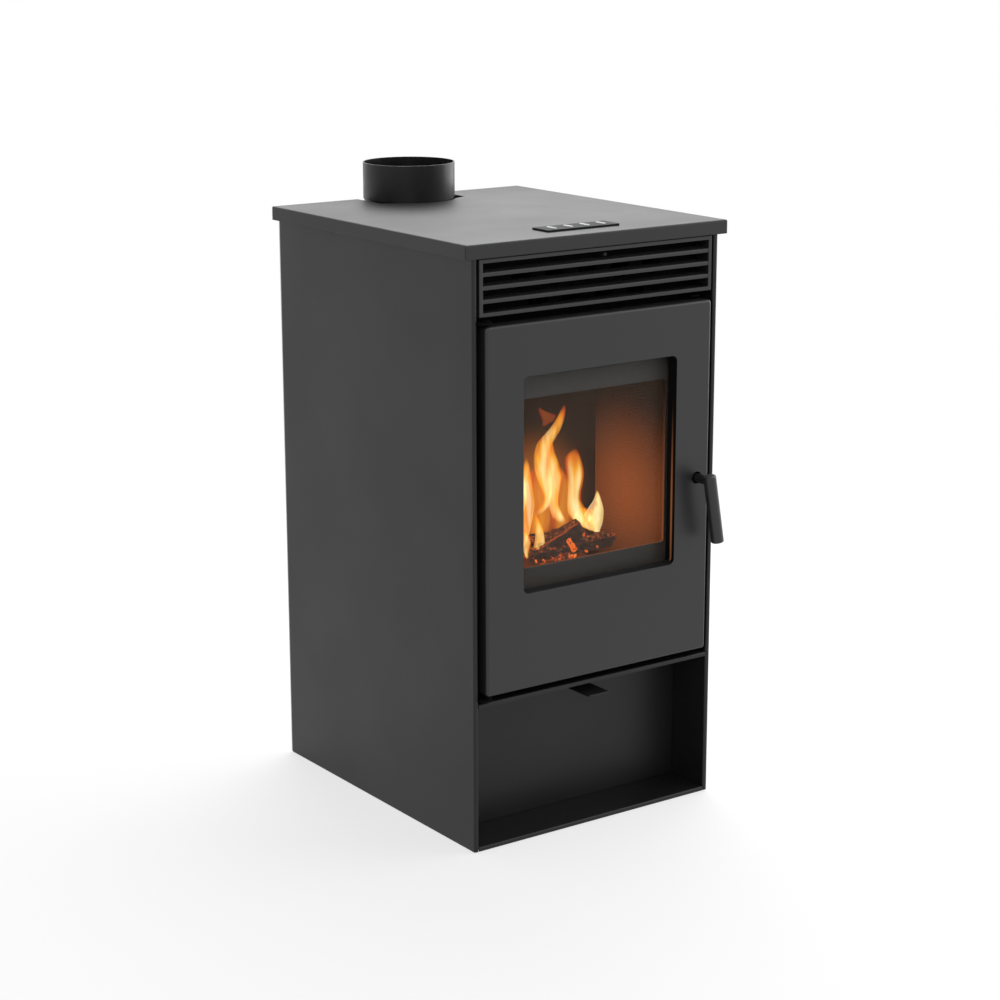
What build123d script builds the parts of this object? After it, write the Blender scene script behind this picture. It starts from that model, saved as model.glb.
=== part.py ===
"""Pellet stove with a glazed door, an open niche under it and a flue collar at the rear of its top.

Millimetres, +Z up. The origin is on the floor at the centre of the casing's footprint.
The front faces -Y, the door's hinge is at -X and its handle at +X.
"""
import os

from build123d import *

os.makedirs("parts", exist_ok=True)

# Clearances
seat_gap = 0.3  # between a piece and the sheet it is screwed to
running = 0.05  # radial, shaft in its bearing
screw_gap = 0.1  # radial, screw in its hole

# Casing
casing_width = 450
casing_depth = 538
lid_underside = 910
sheet = 2
bend = 3  # outer radius of a folded edge
front_band = 8  # width of the folded front edge of a side panel
ground_gap = 1.5
floor_top = 8  # niche floor above the room floor
flange_width = 22

half_width = casing_width / 2
front_y = -casing_depth / 2
rear_y = casing_depth / 2
inner_half = half_width - front_band
tray_half = inner_half - seat_gap
panel_top = lid_underside - 0.6
low_flange = floor_top - 2 * sheet

# Niche under the door
niche_depth = 79
rail_top = 233
rail_height = 6.5
niche_back = front_y + niche_depth

# Firebox front frame
frame_front = front_y + 29
frame_sheet = 3
frame_back = frame_front + frame_sheet
frame_top = 904.7
mouth_width = 300
mouth_bottom = 372
mouth_top = 740

# Air grille above the door
grille_width = 426
grille_top = 889.5
grille_pitch = 19.2
grille_bar = 6
grille_blades = 3
blade_sheet = 1.6
blade_depth = 20
blade_rise = 2.5
grille_bottom = grille_top - (grille_blades + 1) * grille_pitch - grille_bar

# Door
door_half = 207.5
door_proud = 8.5
door_bottom = 243.7
door_top = 793.8
door_return = 28.5
door_edge = 4
window_half = 142
window_bottom = 390.5
window_top = 715.5
window_corner = 9
reveal_depth = 20
gasket_width = 10
gasket_thick = 2
glass_thick = 4
glass_overlap = 12
view_bottom = 421
view_top = 676
door_frame_thick = 3
rope_radius = 3.95
rope_margin = 12

door_face = front_y - door_proud
door_rear = door_face + door_return
reveal_rear = door_face + reveal_depth
glass_front = reveal_rear + gasket_thick
glass_rear = glass_front + glass_thick
door_frame_rear = glass_rear + door_frame_thick
window_mid = (window_bottom + window_top) / 2
view_mid = (view_bottom + view_top) / 2
mouth_mid = (mouth_bottom + mouth_top) / 2

# Door hinge
hinge_x = -(door_half - 6)
hinge_y = door_face + 6.5
hinge_pin_radius = 3
bracket_sheet = 3
upper_bracket = door_top + 3.2
lower_bracket = door_bottom - 7.2

# Door handle and latch
handle_x = 185
handle_z = 520.7
stem_radius = 7
stem_reach = 31.5  # from the door's face to the grip's axis
grip_radius = 10
grip_length = 108
grip_above = 9  # grip above the stem's axis
grip_lean = 10  # degrees, lower end towards +X
cam_thick = 4
cam_reach = 22
catch_centre = 186
catch_width = 16
spindle_radius = 5
keeper_sheet = 2

# Lid: the top plate
lid_width = 476
lid_front = front_y - 5
lid_rear = rear_y - 4
lid_flange = 21
lid_seam = 1.2
lid_top = lid_underside + sheet
lid_hinge_y = front_y + 3
lid_hinge_z = lid_underside - 14
lid_ear_radius = 5
lid_ear_x = 205
lid_pin_radius = 2.5

# Control panel on the lid
panel_width = 132
panel_depth = 40
panel_thick = 3
panel_y = -212
button_count = 4
button_pitch = 30
button_length = 22
button_width = 8
button_proud = 1.2
button_travel = 1

# Flue
flue_y = 236
flue_radius = 74
flue_wall = 2
flue_rise = 58  # length of the collar above the lid, over which the flue pipe slides
flue_swage = 1.5  # radial, by which that length is wider than the neck under it
flue_top = lid_top + flue_rise
smoke_box_half = 92
smoke_box_front = 130
smoke_box_bottom = 690
smoke_box_top = lid_underside - lid_flange
smoke_box_rear = stem_reach + grip_radius - door_face  # stands out behind as far as the handle in front

# Firebox
firebox_half = 160
firebox_wall = 4
firebox_back = -60
firebox_bottom = 330
firebox_top = 885
liner = 12
baffle_bottom = 745
baffle_thick = 12
baffle_front = -180
smoke_window = (762, 790)  # height of the openings into the smoke ducts
fire_floor = firebox_bottom + firebox_wall
fire_half = firebox_half - firebox_wall
fire_back = firebox_back - firebox_wall
liner_face = fire_back - seat_gap - liner

# Heat exchanger
tube_radius = 19
tube_wall = 2
tube_pitch = 60
upper_row = 853
lower_row = 817
scraper_y = -150
scraper_sheet = 3
scraper_gap = 0.6
rod_radius = 3
rod_x = 16
rod_z = 877
rod_end = front_y + 7

# Burn pot
pot_y = -145
pot_bottom = 354
pot_top = 399
pot_wall = 5
pot_width = 96
pot_depth = 90
air_hole_y = -140
air_hole_width = 76
air_hole_depth = 28

# Smoke path and exhaust fan
collector_front = -120
duct_back = -24
collector_bottom = 240
duct_inner = 60
duct_outer = 150
duct_top = 797
smoke_pipe_radius = 40
fan_x = -118
fan_z = 285
fan_front = 130
fan_width = 48
fan_reach = 82
outlet_width = 50
fan_outlet_top = fan_z + 72
impeller_radius = 52
motor_shaft_radius = 4

# Hopper and auger
hopper_half = 203
hopper_front = -18
hopper_rear = 108
hopper_wall = 1.5
hopper_bottom = 530
hopper_shoulder = 660
throat_width = 60
throat_depth = 50
throat_y = 65
auger_length = 175
auger_radius = 32
auger_wall = 2
auger_pitch = 42
auger_shaft_radius = 8
flight_gap = 2
auger_foot = (100, 420)  # lower end of the auger's axis, in Y and Z
chute_radius = 24
chute_length = 130
auger_axis = Plane(origin=(0, *auger_foot), x_dir=(1, 0, 0), z_dir=(0, -1, 1))
chute_start = auger_axis.from_local_coords((0, 0, auger_length - chute_radius - 4))
chute_axis = Plane(origin=chute_start, x_dir=(1, 0, 0), z_dir=(0, -1, -0.84))

# Combustion air
air_pipe_x = 60
air_pipe_z = 178
air_pipe_radius = 25
air_pipe_wall = 1.5
air_pipe_out = 31
air_spigot = 30  # length of the pipe's end over which the air hose slides
air_swage = 0.5  # radial, by which that end is wider
slide_sheet = 2.5
slide_bottom = 207
slide_top = slide_bottom + slide_sheet
slide_travel = 26
air_hole_x = (-air_hole_width / 2, air_hole_width / 2)
air_hole = (air_hole_y - air_hole_depth / 2, air_hole_y + air_hole_depth / 2)
riser_x = (air_hole_x[0] - sheet, air_hole_x[1] + sheet)
riser_y = (air_hole[0] - sheet, air_hole[1] + sheet)
tab_width = 38
tab_front = front_y - 7

# Convection fan
blower_y = 40
blower_z = 88
blower_half = 128
rotor_radius = 35

# Screws
screw_radius = 2
screw_head = 3.6


def facing_front(y):
    """Sketch plane at a given y: drawn in X and Z, extruded towards the front."""
    return Plane.XZ.offset(-y)


def block(x, y, z, mode=Mode.ADD):
    """Rectangular block between two limits on each axis."""
    with Locations(((x[0] + x[1]) / 2, (y[0] + y[1]) / 2, (z[0] + z[1]) / 2)):
        Box(x[1] - x[0], y[1] - y[0], z[1] - z[0], mode=mode)


def folded_section(points, side, thickness=sheet, radius=bend):
    """Cross-section of a folded sheet, from its outer line."""
    with BuildSketch(mode=Mode.PRIVATE) as section:
        with BuildLine():
            FilletPolyline(*points, radius=radius)
            offset(amount=thickness, side=side)
        make_face()
    return section.sketch


def across(y, z, radius, x, mode=Mode.ADD):
    """Round bar or bore along X between two limits."""
    with BuildSketch(Plane.YZ.offset(x[0]), mode=Mode.PRIVATE) as circle:
        with Locations((y, z)):
            Circle(radius)
    extrude(circle.sketch, amount=x[1] - x[0], mode=mode)


def along(x, z, radius, y, mode=Mode.ADD):
    """Round bar or bore along Y between two limits."""
    with BuildSketch(facing_front(y[1]), mode=Mode.PRIVATE) as circle:
        with Locations((x, z)):
            Circle(radius)
    extrude(circle.sketch, amount=y[1] - y[0], mode=mode)


def upright(x, y, radius, z, mode=Mode.ADD):
    """Round bar or bore along Z between two limits."""
    with Locations((x, y, z[0])):
        Cylinder(radius, z[1] - z[0], align=(Align.CENTER, Align.CENTER, Align.MIN), mode=mode)


# ---------------------------------------------------------------- casing

glide_x = half_width - 20
glide_y = rear_y - 30
screw_rows = [60 + row * (panel_top - 110) / 3 for row in range(4)]
casing_screws_at = [(x, z) for x in (-half_width + 10, half_width - 10) for z in screw_rows]

with BuildPart() as base_tray:
    tray_rear = rear_y - 2 * sheet - seat_gap
    with BuildSketch(Plane.YZ):
        add(
            folded_section(
                [(front_y, ground_gap), (front_y, floor_top), (tray_rear, floor_top), (tray_rear, ground_gap)],
                Side.RIGHT,
            )
        )
    extrude(amount=tray_half, both=True)

with BuildPart() as glides:
    with GridLocations(2 * glide_x, 2 * glide_y, 2, 2):
        Cylinder(11, low_flange, align=(Align.CENTER, Align.CENTER, Align.MIN))
    chamfer(glides.faces().sort_by(Axis.Z)[:4].edges(), 0.8)

with BuildPart() as left_side_panel:
    with BuildSketch(Plane.XY.offset(ground_gap)):
        add(
            folded_section(
                [
                    (-inner_half, niche_back + sheet),
                    (-inner_half, front_y),
                    (-half_width, front_y),
                    (-half_width, rear_y - sheet),
                    (-half_width + flange_width, rear_y - sheet),
                ],
                Side.RIGHT,
            )
        )
    extrude(amount=panel_top - ground_gap)
    # Inward flanges: the lower one carries the tray, the upper one the hopper
    flange_x = (-half_width + sheet, -half_width + sheet + flange_width)
    block(flange_x, (front_y + bend, tray_rear - bend), (low_flange, low_flange + sheet))
    block(flange_x, (niche_back + 2 * sheet, rear_y - 2 * sheet), (panel_top - sheet, panel_top))
    for x, z in casing_screws_at[:4]:
        along(x, z, screw_radius + screw_gap, (rear_y - 2 * sheet - 1, rear_y), Mode.SUBTRACT)

with BuildPart() as right_side_panel:
    add(mirror(left_side_panel.part, about=Plane.YZ))

with BuildPart() as rear_panel:
    with BuildSketch(facing_front(rear_y)):
        with Locations((0, (ground_gap + panel_top) / 2)):
            Rectangle(casing_width - 2, panel_top - ground_gap)
        with Locations((0, (smoke_box_bottom - 2 + panel_top) / 2)):
            Rectangle(2 * smoke_box_half + 4, panel_top - smoke_box_bottom + 4, mode=Mode.SUBTRACT)
        with Locations((air_pipe_x, air_pipe_z)):
            Circle(air_pipe_radius + seat_gap, mode=Mode.SUBTRACT)
        with Locations((150, 90)):
            Rectangle(28, 48, mode=Mode.SUBTRACT)
        with Locations((0, 88)), GridLocations(70, 14, 3, 6):
            SlotOverall(56, 6, mode=Mode.SUBTRACT)
        with Locations(*casing_screws_at):
            Circle(screw_radius + screw_gap, mode=Mode.SUBTRACT)
    extrude(amount=sheet)

with BuildPart() as casing_screws:
    for x, z in casing_screws_at:
        along(x, z, screw_radius, (rear_y - 8, rear_y))
        along(x, z, screw_head, (rear_y, rear_y + 2))
    fillet(casing_screws.faces().sort_by(Axis.Y)[-8:].edges(), 1.2)

with BuildPart() as niche_liner:
    with BuildSketch(Plane.YZ):
        add(
            folded_section(
                [
                    (front_y, rail_top - rail_height),
                    (front_y, rail_top),
                    (niche_back + sheet, rail_top),
                    (niche_back + sheet, floor_top + 0.2),
                ],
                Side.RIGHT,
            )
        )
    extrude(amount=tray_half, both=True)
    block(
        (-tab_width / 2 - 1, tab_width / 2 + 1),
        (niche_back - 1, niche_back + sheet + 1),
        (slide_bottom - 1, slide_bottom + slide_sheet + 1),
        Mode.SUBTRACT,
    )

tube_places = [(x * tube_pitch, upper_row) for x in (-2, -1, 0, 1, 2)]
tube_places += [(x * tube_pitch, lower_row) for x in (-1.5, -0.5, 0.5, 1.5)]
keeper_mid = handle_z
keeper_front = door_frame_rear + seat_gap

with BuildPart() as front_frame:
    with BuildSketch(facing_front(frame_back)):
        with Locations((0, (rail_top + seat_gap + frame_top) / 2)):
            Rectangle(2 * tray_half, frame_top - rail_top - seat_gap)
        with Locations((0, mouth_mid)):
            RectangleRounded(mouth_width, mouth_top - mouth_bottom, 12, mode=Mode.SUBTRACT)
        with Locations(*tube_places):
            Circle(tube_radius, mode=Mode.SUBTRACT)
        with Locations((rod_x, rod_z)):
            Circle(rod_radius + 0.4, mode=Mode.SUBTRACT)
    extrude(amount=frame_sheet)
    for side in (-1, 1):
        edge = sorted((side * tray_half, side * (tray_half - sheet)))
        block(edge, (frame_back, frame_back + 22), (rail_top + seat_gap, frame_top))
    # Catch strip just above the door's top edge
    catch_x = (catch_centre - catch_width / 2, catch_centre + catch_width / 2)
    block(catch_x, (door_face + 12, frame_front), (door_top + 5, door_top + 5 + sheet))
    # Keeper plate for the latch cam, on a spacer
    block((209, 214), (keeper_front, frame_front), (keeper_mid - 11, keeper_mid + 11))
    block((198, 214), (keeper_front, keeper_front + keeper_sheet), (keeper_mid - 11, keeper_mid + 11))

with BuildPart() as air_grille:
    with BuildSketch(facing_front(frame_front)):
        with Locations((0, (grille_top + grille_bottom) / 2)):
            Rectangle(grille_width, grille_top - grille_bottom)
            Rectangle(grille_width - 2 * grille_bar, grille_top - grille_bottom - 2 * grille_bar, mode=Mode.SUBTRACT)
    extrude(amount=frame_front - front_y)
    fillet(air_grille.faces().sort_by(Axis.Y)[0].outer_wire().edges(), 1)
    for number in range(1, grille_blades + 1):
        blade_top = grille_top - number * grille_pitch
        with BuildSketch(Plane.YZ):
            add(
                folded_section(
                    [
                        (front_y + 0.5, blade_top - grille_bar),
                        (front_y + 0.5, blade_top),
                        (front_y + blade_depth, blade_top + blade_rise),
                    ],
                    Side.RIGHT,
                    blade_sheet,
                    1.8,
                )
            )
        extrude(amount=grille_width / 2 - grille_bar, both=True)

rail_back = front_y + 9
with BuildPart() as top_front_rail:
    with BuildSketch(Plane.YZ):
        add(
            folded_section(
                [(rail_back, grille_top + 1), (rail_back, panel_top - 2.4), (frame_back + 3, panel_top - 2.4)],
                Side.RIGHT,
            )
        )
    extrude(amount=tray_half, both=True)
    for side in (-1, 1):
        ear = sorted((side * (lid_ear_x - 1.5), side * (lid_ear_x + 1.5)))
        across(lid_hinge_y, lid_hinge_z, lid_ear_radius, ear)
        block(ear, (lid_hinge_y, rail_back + 1), (lid_hinge_z - lid_ear_radius, lid_hinge_z + lid_ear_radius))
        across(lid_hinge_y, lid_hinge_z, lid_pin_radius, (ear[0] - 1, ear[1] + 1), Mode.SUBTRACT)


with BuildPart() as hinge_brackets:
    for bottom in (lower_bracket, upper_bracket):
        with BuildSketch(Plane.XY.offset(bottom)) as outline:
            with Locations(((-inner_half + hinge_x + 7) / 2, (door_face + frame_front) / 2)):
                Rectangle(inner_half + hinge_x + 7, frame_front - door_face)
            fillet(outline.vertices().group_by(Axis.Y)[0], 5)
            with Locations((hinge_x, hinge_y)):
                Circle(hinge_pin_radius, mode=Mode.SUBTRACT)
        extrude(amount=bracket_sheet)
    # Bush that the door stands on
    upright(hinge_x, hinge_y, 5.5, (lower_bracket + bracket_sheet, door_bottom - seat_gap))
    upright(hinge_x, hinge_y, hinge_pin_radius, (lower_bracket, door_bottom), Mode.SUBTRACT)

with BuildPart() as hinge_pins:
    upright(hinge_x, hinge_y, hinge_pin_radius, (door_top - 9, upper_bracket + bracket_sheet))
    upright(hinge_x, hinge_y, 5, (upper_bracket + bracket_sheet, upper_bracket + bracket_sheet + 2.2))
    upright(hinge_x, hinge_y, hinge_pin_radius, (lower_bracket, door_bottom + 9))

with BuildPart() as lid_hinge_pins:
    for side in (-1, 1):
        shank = sorted((side * (lid_ear_x - 1.5), side * (lid_ear_x + 6)))
        head = sorted((side * (lid_ear_x - 1.5), side * (lid_ear_x - 3.5)))
        across(lid_hinge_y, lid_hinge_z, lid_pin_radius, shank)
        across(lid_hinge_y, lid_hinge_z, lid_pin_radius + 1.5, head)

# ---------------------------------------------------------------- firebox

with BuildPart() as firebox_shell:
    block((-firebox_half, firebox_half), (frame_back, firebox_back), (firebox_bottom, firebox_top))
    block(
        (-fire_half, fire_half),
        (frame_back - 1, fire_back),
        (fire_floor, firebox_top - firebox_wall),
        Mode.SUBTRACT,
    )
    for x, z in tube_places:
        along(x, z, tube_radius, (fire_back - 1, firebox_back + 1), Mode.SUBTRACT)
    for side in (-1, 1):
        window = sorted((side * (duct_inner + sheet), side * (duct_outer - sheet)))
        block(window, (fire_back - 1, firebox_back + 1), smoke_window, Mode.SUBTRACT)
    along(0, pot_bottom + 30, 6, (fire_back - 1, firebox_back + 1), Mode.SUBTRACT)
    # Air riser welded under the floor, ending just above the slide
    block(riser_x, riser_y, (slide_top + seat_gap, firebox_bottom))
    block(air_hole_x, air_hole, (slide_top, fire_floor + 1), Mode.SUBTRACT)
    with BuildSketch(chute_axis):
        Circle(chute_radius + seat_gap)
    extrude(amount=chute_length, mode=Mode.SUBTRACT)

with BuildPart() as exchanger_tubes:
    with BuildSketch(facing_front(firebox_back)):
        with Locations(*tube_places):
            Circle(tube_radius)
            Circle(tube_radius - tube_wall, mode=Mode.SUBTRACT)
    extrude(amount=firebox_back - frame_front)

scraper_low = lower_row - tube_radius
scraper_high = firebox_top - firebox_wall - 1
with BuildPart() as tube_scraper:
    with BuildSketch(facing_front(scraper_y + scraper_sheet)):
        with Locations((0, (scraper_low + scraper_high) / 2)):
            Rectangle(2 * fire_half - 6, scraper_high - scraper_low)
        with Locations(*tube_places):
            Circle(tube_radius + scraper_gap, mode=Mode.SUBTRACT)
    extrude(amount=scraper_sheet)
    along(rod_x, rod_z, rod_radius, (rod_end, scraper_y + 1))
    chamfer(tube_scraper.faces().sort_by(Axis.Y)[0].edges(), 0.8)

with BuildPart() as side_liners:
    for side in (-1, 1):
        brick = sorted((side * (fire_half - seat_gap), side * (fire_half - liner)))
        block(brick, (frame_back + 1, fire_back - seat_gap), (fire_floor + seat_gap, baffle_bottom))
    chamfer(side_liners.edges().filter_by(Axis.Z).group_by(Axis.Y)[0], 2)

with BuildPart() as back_liner:
    block(
        (-fire_half + liner + seat_gap, fire_half - liner - seat_gap),
        (liner_face, fire_back - seat_gap),
        (fire_floor + seat_gap, baffle_bottom),
    )
    along(0, pot_bottom + 30, 6, (liner_face - 1, fire_back), Mode.SUBTRACT)
    with BuildSketch(chute_axis):
        Circle(chute_radius + seat_gap)
    extrude(amount=chute_length, mode=Mode.SUBTRACT)

with BuildPart() as baffle_plate:
    baffle_y = (baffle_front, fire_back - seat_gap)
    baffle_z = (baffle_bottom, baffle_bottom + baffle_thick)
    block((-fire_half + seat_gap, fire_half - seat_gap), baffle_y, baffle_z)
    fillet(baffle_plate.edges().filter_by(Axis.X).group_by(Axis.Y)[0], 3)

holder_wall = 3
holder_half = pot_width / 2 + 8
holder_front = pot_y - pot_depth / 2 - 8
holder_back = pot_y + pot_depth / 2 + 8
with BuildPart() as pot_holder:
    block((-holder_half, holder_half), (holder_front, holder_back), (fire_floor, pot_bottom))
    fillet(pot_holder.edges().filter_by(Axis.Z), 6)
    offset(amount=-holder_wall, openings=pot_holder.faces().sort_by(Axis.Z)[0])
    block((-34, 34), (pot_y - 30, pot_y + 30), (pot_bottom - holder_wall - 1, pot_bottom + 1), Mode.SUBTRACT)

with BuildPart() as burn_pot:
    with BuildSketch(Plane.XY.offset(pot_bottom)):
        with Locations((0, pot_y)):
            RectangleRounded(pot_width - 12, pot_depth - 12, 8)
    with BuildSketch(Plane.XY.offset(pot_top)):
        with Locations((0, pot_y)):
            RectangleRounded(pot_width, pot_depth, 8)
    loft()
    offset(amount=-pot_wall, openings=burn_pot.faces().sort_by(Axis.Z)[-1])
    with BuildSketch(Plane.XY.offset(pot_bottom - 1)):
        with Locations((0, pot_y)), GridLocations(15, 15, 4, 4):
            Circle(3)
    extrude(amount=pot_wall + 2, mode=Mode.SUBTRACT)
    along(0, pot_bottom + 30, 6, (pot_y, pot_y + pot_depth), Mode.SUBTRACT)

with BuildPart() as ember_bed:
    with BuildSketch(Plane.XY.offset(pot_bottom + pot_wall + 0.4)):
        with Locations((0, pot_y)):
            RectangleRounded(pot_width - 12 - 2 * pot_wall - 2, pot_depth - 12 - 2 * pot_wall - 2, 4)
    with BuildSketch(Plane.XY.offset(pot_top - 4)):
        with Locations((0, pot_y)):
            RectangleRounded(pot_width - 2 * pot_wall - 4, pot_depth - 2 * pot_wall - 4, 4)
    loft()
    fillet(ember_bed.faces().sort_by(Axis.Z)[-1].edges(), 3)
    along(0, pot_bottom + 30, 6.5, (pot_y + 10, pot_y + pot_depth), Mode.SUBTRACT)

log_radius = 13
log_rest = pot_top + log_radius
log_top = log_rest + 2 * log_radius + 0.4
log_routes = [
    ((-52, -172, log_rest), (114, -158, log_rest)),
    ((-56, -120, log_rest), (66, -114, log_rest)),
    ((-12, -186, log_top), (62, -100, log_top)),
]
with BuildPart() as charred_logs:
    for start, end in log_routes:
        with BuildSketch(Plane(origin=start, z_dir=Vector(*end) - Vector(*start))):
            RegularPolygon(log_radius, 9)
        extrude(amount=(Vector(*end) - Vector(*start)).length)

with BuildPart() as ash_pan:
    block((-140, 140), (-232, liner_face - 4), (fire_floor + seat_gap, fire_floor + 16))
    fillet(ash_pan.edges().filter_by(Axis.Z), 8)
    offset(amount=-1.5, openings=ash_pan.faces().sort_by(Axis.Z)[-1])
    sleeve = (holder_front - 3.5, holder_back + 3.5)
    block((-holder_half - 3.5, holder_half + 3.5), sleeve, (fire_floor + seat_gap, fire_floor + 16))
    opening = (holder_front - 2, holder_back + 2)
    block((-holder_half - 2, holder_half + 2), opening, (fire_floor, fire_floor + 17), Mode.SUBTRACT)

with BuildPart() as igniter:
    along(0, pot_bottom + 30, 5.7, (pot_y + pot_depth / 2 - 10, firebox_back))
    along(0, pot_bottom + 30, 9, (firebox_back, firebox_back + 35))

# ---------------------------------------------------------------- smoke path

with BuildPart() as smoke_collector:
    block((-firebox_half, firebox_half), (collector_front, duct_back), (collector_bottom, firebox_bottom))
    fillet(smoke_collector.edges().filter_by(Axis.X).group_by(Axis.Z)[0], 6)
    block(
        (-firebox_half + sheet, firebox_half - sheet),
        (collector_front + sheet, duct_back - sheet),
        (collector_bottom + sheet, firebox_bottom - sheet),
        Mode.SUBTRACT,
    )
    # Two ducts that bring the smoke down behind the firebox
    for side in (-1, 1):
        outer = sorted((side * duct_inner, side * duct_outer))
        inner = (outer[0] + sheet, outer[1] - sheet)
        block(outer, (firebox_back, duct_back), (firebox_bottom, duct_top))
        duct_y = (firebox_back + sheet, duct_back - sheet)
        block(inner, duct_y, (firebox_bottom - sheet - 1, duct_top - sheet), Mode.SUBTRACT)
        block(inner, (firebox_back - 1, firebox_back + sheet + 1), smoke_window, Mode.SUBTRACT)
    along(fan_x, fan_z, smoke_pipe_radius - sheet, (duct_back - sheet - 1, duct_back + 1), Mode.SUBTRACT)

with BuildPart() as exhaust_pipe:
    along(fan_x, fan_z, smoke_pipe_radius, (duct_back, fan_front))
    along(fan_x, fan_z, smoke_pipe_radius - sheet, (duct_back - 1, fan_front + 1), Mode.SUBTRACT)

outlet = (fan_x + fan_reach - outlet_width, fan_x + fan_reach)


def volute(inset):
    """Scroll outline of the exhaust fan, drawn in X and Z, with its outlet going up."""
    radii = [fan_reach - step - inset for step in (18, 12, 6, 0)]
    with BuildSketch(mode=Mode.PRIVATE) as outline:
        with BuildLine():
            spiral = Spline(
                (fan_x, fan_z + radii[0]),
                (fan_x - radii[1], fan_z),
                (fan_x, fan_z - radii[2]),
                (fan_x + radii[3], fan_z),
                tangents=((-1, 0), (0, 1)),
            )
            Polyline(
                spiral @ 1,
                (outlet[1] - inset, fan_outlet_top),
                (outlet[0] + inset, fan_outlet_top),
                (outlet[0] + inset, fan_z + radii[0] - 6),
                spiral @ 0,
            )
        make_face()
    return outline.sketch


fan_back = fan_front + fan_width
with BuildPart() as exhaust_fan_housing:
    with BuildSketch(facing_front(fan_back)):
        add(volute(0))
    extrude(amount=fan_width)
    with BuildSketch(facing_front(fan_back - sheet)):
        add(volute(sheet))
    extrude(amount=fan_width - 2 * sheet, mode=Mode.SUBTRACT)
    along(fan_x, fan_z, smoke_pipe_radius - sheet, (fan_front - 1, fan_front + sheet + 1), Mode.SUBTRACT)
    along(fan_x, fan_z, motor_shaft_radius + 1, (fan_back - sheet - 1, fan_back + 1), Mode.SUBTRACT)

with BuildPart() as exhaust_impeller:
    along(fan_x, fan_z, impeller_radius, (fan_back - 10, fan_back - 8))
    along(fan_x, fan_z, 11, (fan_back - 30, fan_back - 8))
    along(fan_x, fan_z, motor_shaft_radius, (fan_back - 30, fan_back + 14))
    with BuildSketch(facing_front(fan_back - 10)):
        with Locations((fan_x, fan_z)), PolarLocations((impeller_radius + 10) / 2, 8):
            Rectangle(impeller_radius - 11, 1.6)
    extrude(amount=26)

with BuildPart() as exhaust_motor:
    along(fan_x, fan_z, 34, (fan_back, fan_back + 58))
    fillet(exhaust_motor.faces().sort_by(Axis.Y)[-1].edges(), 5)
    along(fan_x, fan_z, motor_shaft_radius + running, (fan_back - 1, fan_back + 16), Mode.SUBTRACT)

with BuildPart() as smoke_box:
    block((-smoke_box_half, smoke_box_half), (smoke_box_front, smoke_box_rear), (smoke_box_bottom, smoke_box_top))
    offset(amount=-sheet, mode=Mode.SUBTRACT)
    # Riser from the fan's outlet
    block(outlet, (fan_front, fan_back), (fan_outlet_top, smoke_box_bottom))
    inner = (outlet[0] + sheet, outlet[1] - sheet)
    riser_inner = (fan_front + sheet, fan_back - sheet)
    block(inner, riser_inner, (fan_outlet_top - 1, smoke_box_bottom + sheet + 1), Mode.SUBTRACT)
    flue_bore = flue_radius - flue_swage - flue_wall
    upright(0, flue_y, flue_bore, (smoke_box_top - sheet - 1, smoke_box_top + 1), Mode.SUBTRACT)

with BuildPart() as flue_collar:
    upright(0, flue_y, flue_radius - flue_swage, (smoke_box_top, lid_top))
    upright(0, flue_y, flue_radius, (lid_top, flue_top))
    upright(0, flue_y, flue_radius + 8, (smoke_box_top, smoke_box_top + sheet))
    upright(0, flue_y, flue_bore, (smoke_box_top - 1, lid_top), Mode.SUBTRACT)
    upright(0, flue_y, flue_radius - flue_wall, (lid_top, flue_top + 1), Mode.SUBTRACT)

# ---------------------------------------------------------------- pellet feed

hopper_top = panel_top - sheet - seat_gap
with BuildPart() as hopper:
    # A funnel under a bin, then the same drawn in by the wall
    for inset, mode in ((0, Mode.ADD), (hopper_wall, Mode.SUBTRACT)):
        with BuildSketch(Plane.XY.offset(hopper_bottom), mode=Mode.PRIVATE) as throat:
            with Locations((0, throat_y)):
                Rectangle(throat_width - 2 * inset, throat_depth - 2 * inset)
        with BuildSketch(Plane.XY.offset(hopper_shoulder), mode=Mode.PRIVATE) as shoulder:
            with Locations((0, (hopper_front + hopper_rear) / 2)):
                Rectangle(2 * (hopper_half - inset), hopper_rear - hopper_front - 2 * inset)
        loft(sections=[throat.sketch.face(), shoulder.sketch.face()], mode=mode)
        extrude(shoulder.sketch, amount=hopper_top - hopper_shoulder, mode=mode)
    for side in (-1, 1):
        rim = sorted((side * hopper_half, side * (half_width - sheet - seat_gap)))
        block(rim, (hopper_front, hopper_rear), (hopper_top - hopper_wall, hopper_top))

def axis_height(y):
    """Height of the auger's axis above a given y."""
    return auger_foot[1] + auger_foot[0] - y


with BuildPart() as auger_tube:
    with BuildSketch(auger_axis):
        Circle(auger_radius)
    extrude(amount=auger_length)
    with BuildSketch(chute_axis):
        Circle(chute_radius)
    extrude(amount=chute_length)
    # Throat under the hopper and its opening into the tube, both above the axis
    for inset in (0, hopper_wall):
        front = throat_y - throat_depth / 2 + inset
        rear = throat_y + throat_depth / 2 - inset
        with BuildSketch(Plane.YZ):
            with BuildLine():
                Polyline(
                    (front, axis_height(front)),
                    (front, hopper_bottom),
                    (rear, hopper_bottom),
                    (rear, axis_height(rear)),
                    close=True,
                )
            make_face()
        extrude(amount=throat_width / 2 - inset, both=True, mode=Mode.SUBTRACT if inset else Mode.ADD)
    with BuildSketch(auger_axis.offset(-1)):
        Circle(auger_radius - auger_wall)
    extrude(amount=auger_length - auger_wall + 1, mode=Mode.SUBTRACT)
    with BuildSketch(chute_axis):
        Circle(chute_radius - auger_wall)
    extrude(amount=chute_length + 1, mode=Mode.SUBTRACT)
    chute_end = chute_start.Z - 0.84 * (chute_start.Y - liner_face)
    block(
        (-chute_radius - 1, chute_radius + 1),
        (liner_face - chute_length, liner_face),
        (chute_end - chute_length, chute_end + chute_length),
        Mode.SUBTRACT,
    )

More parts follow.
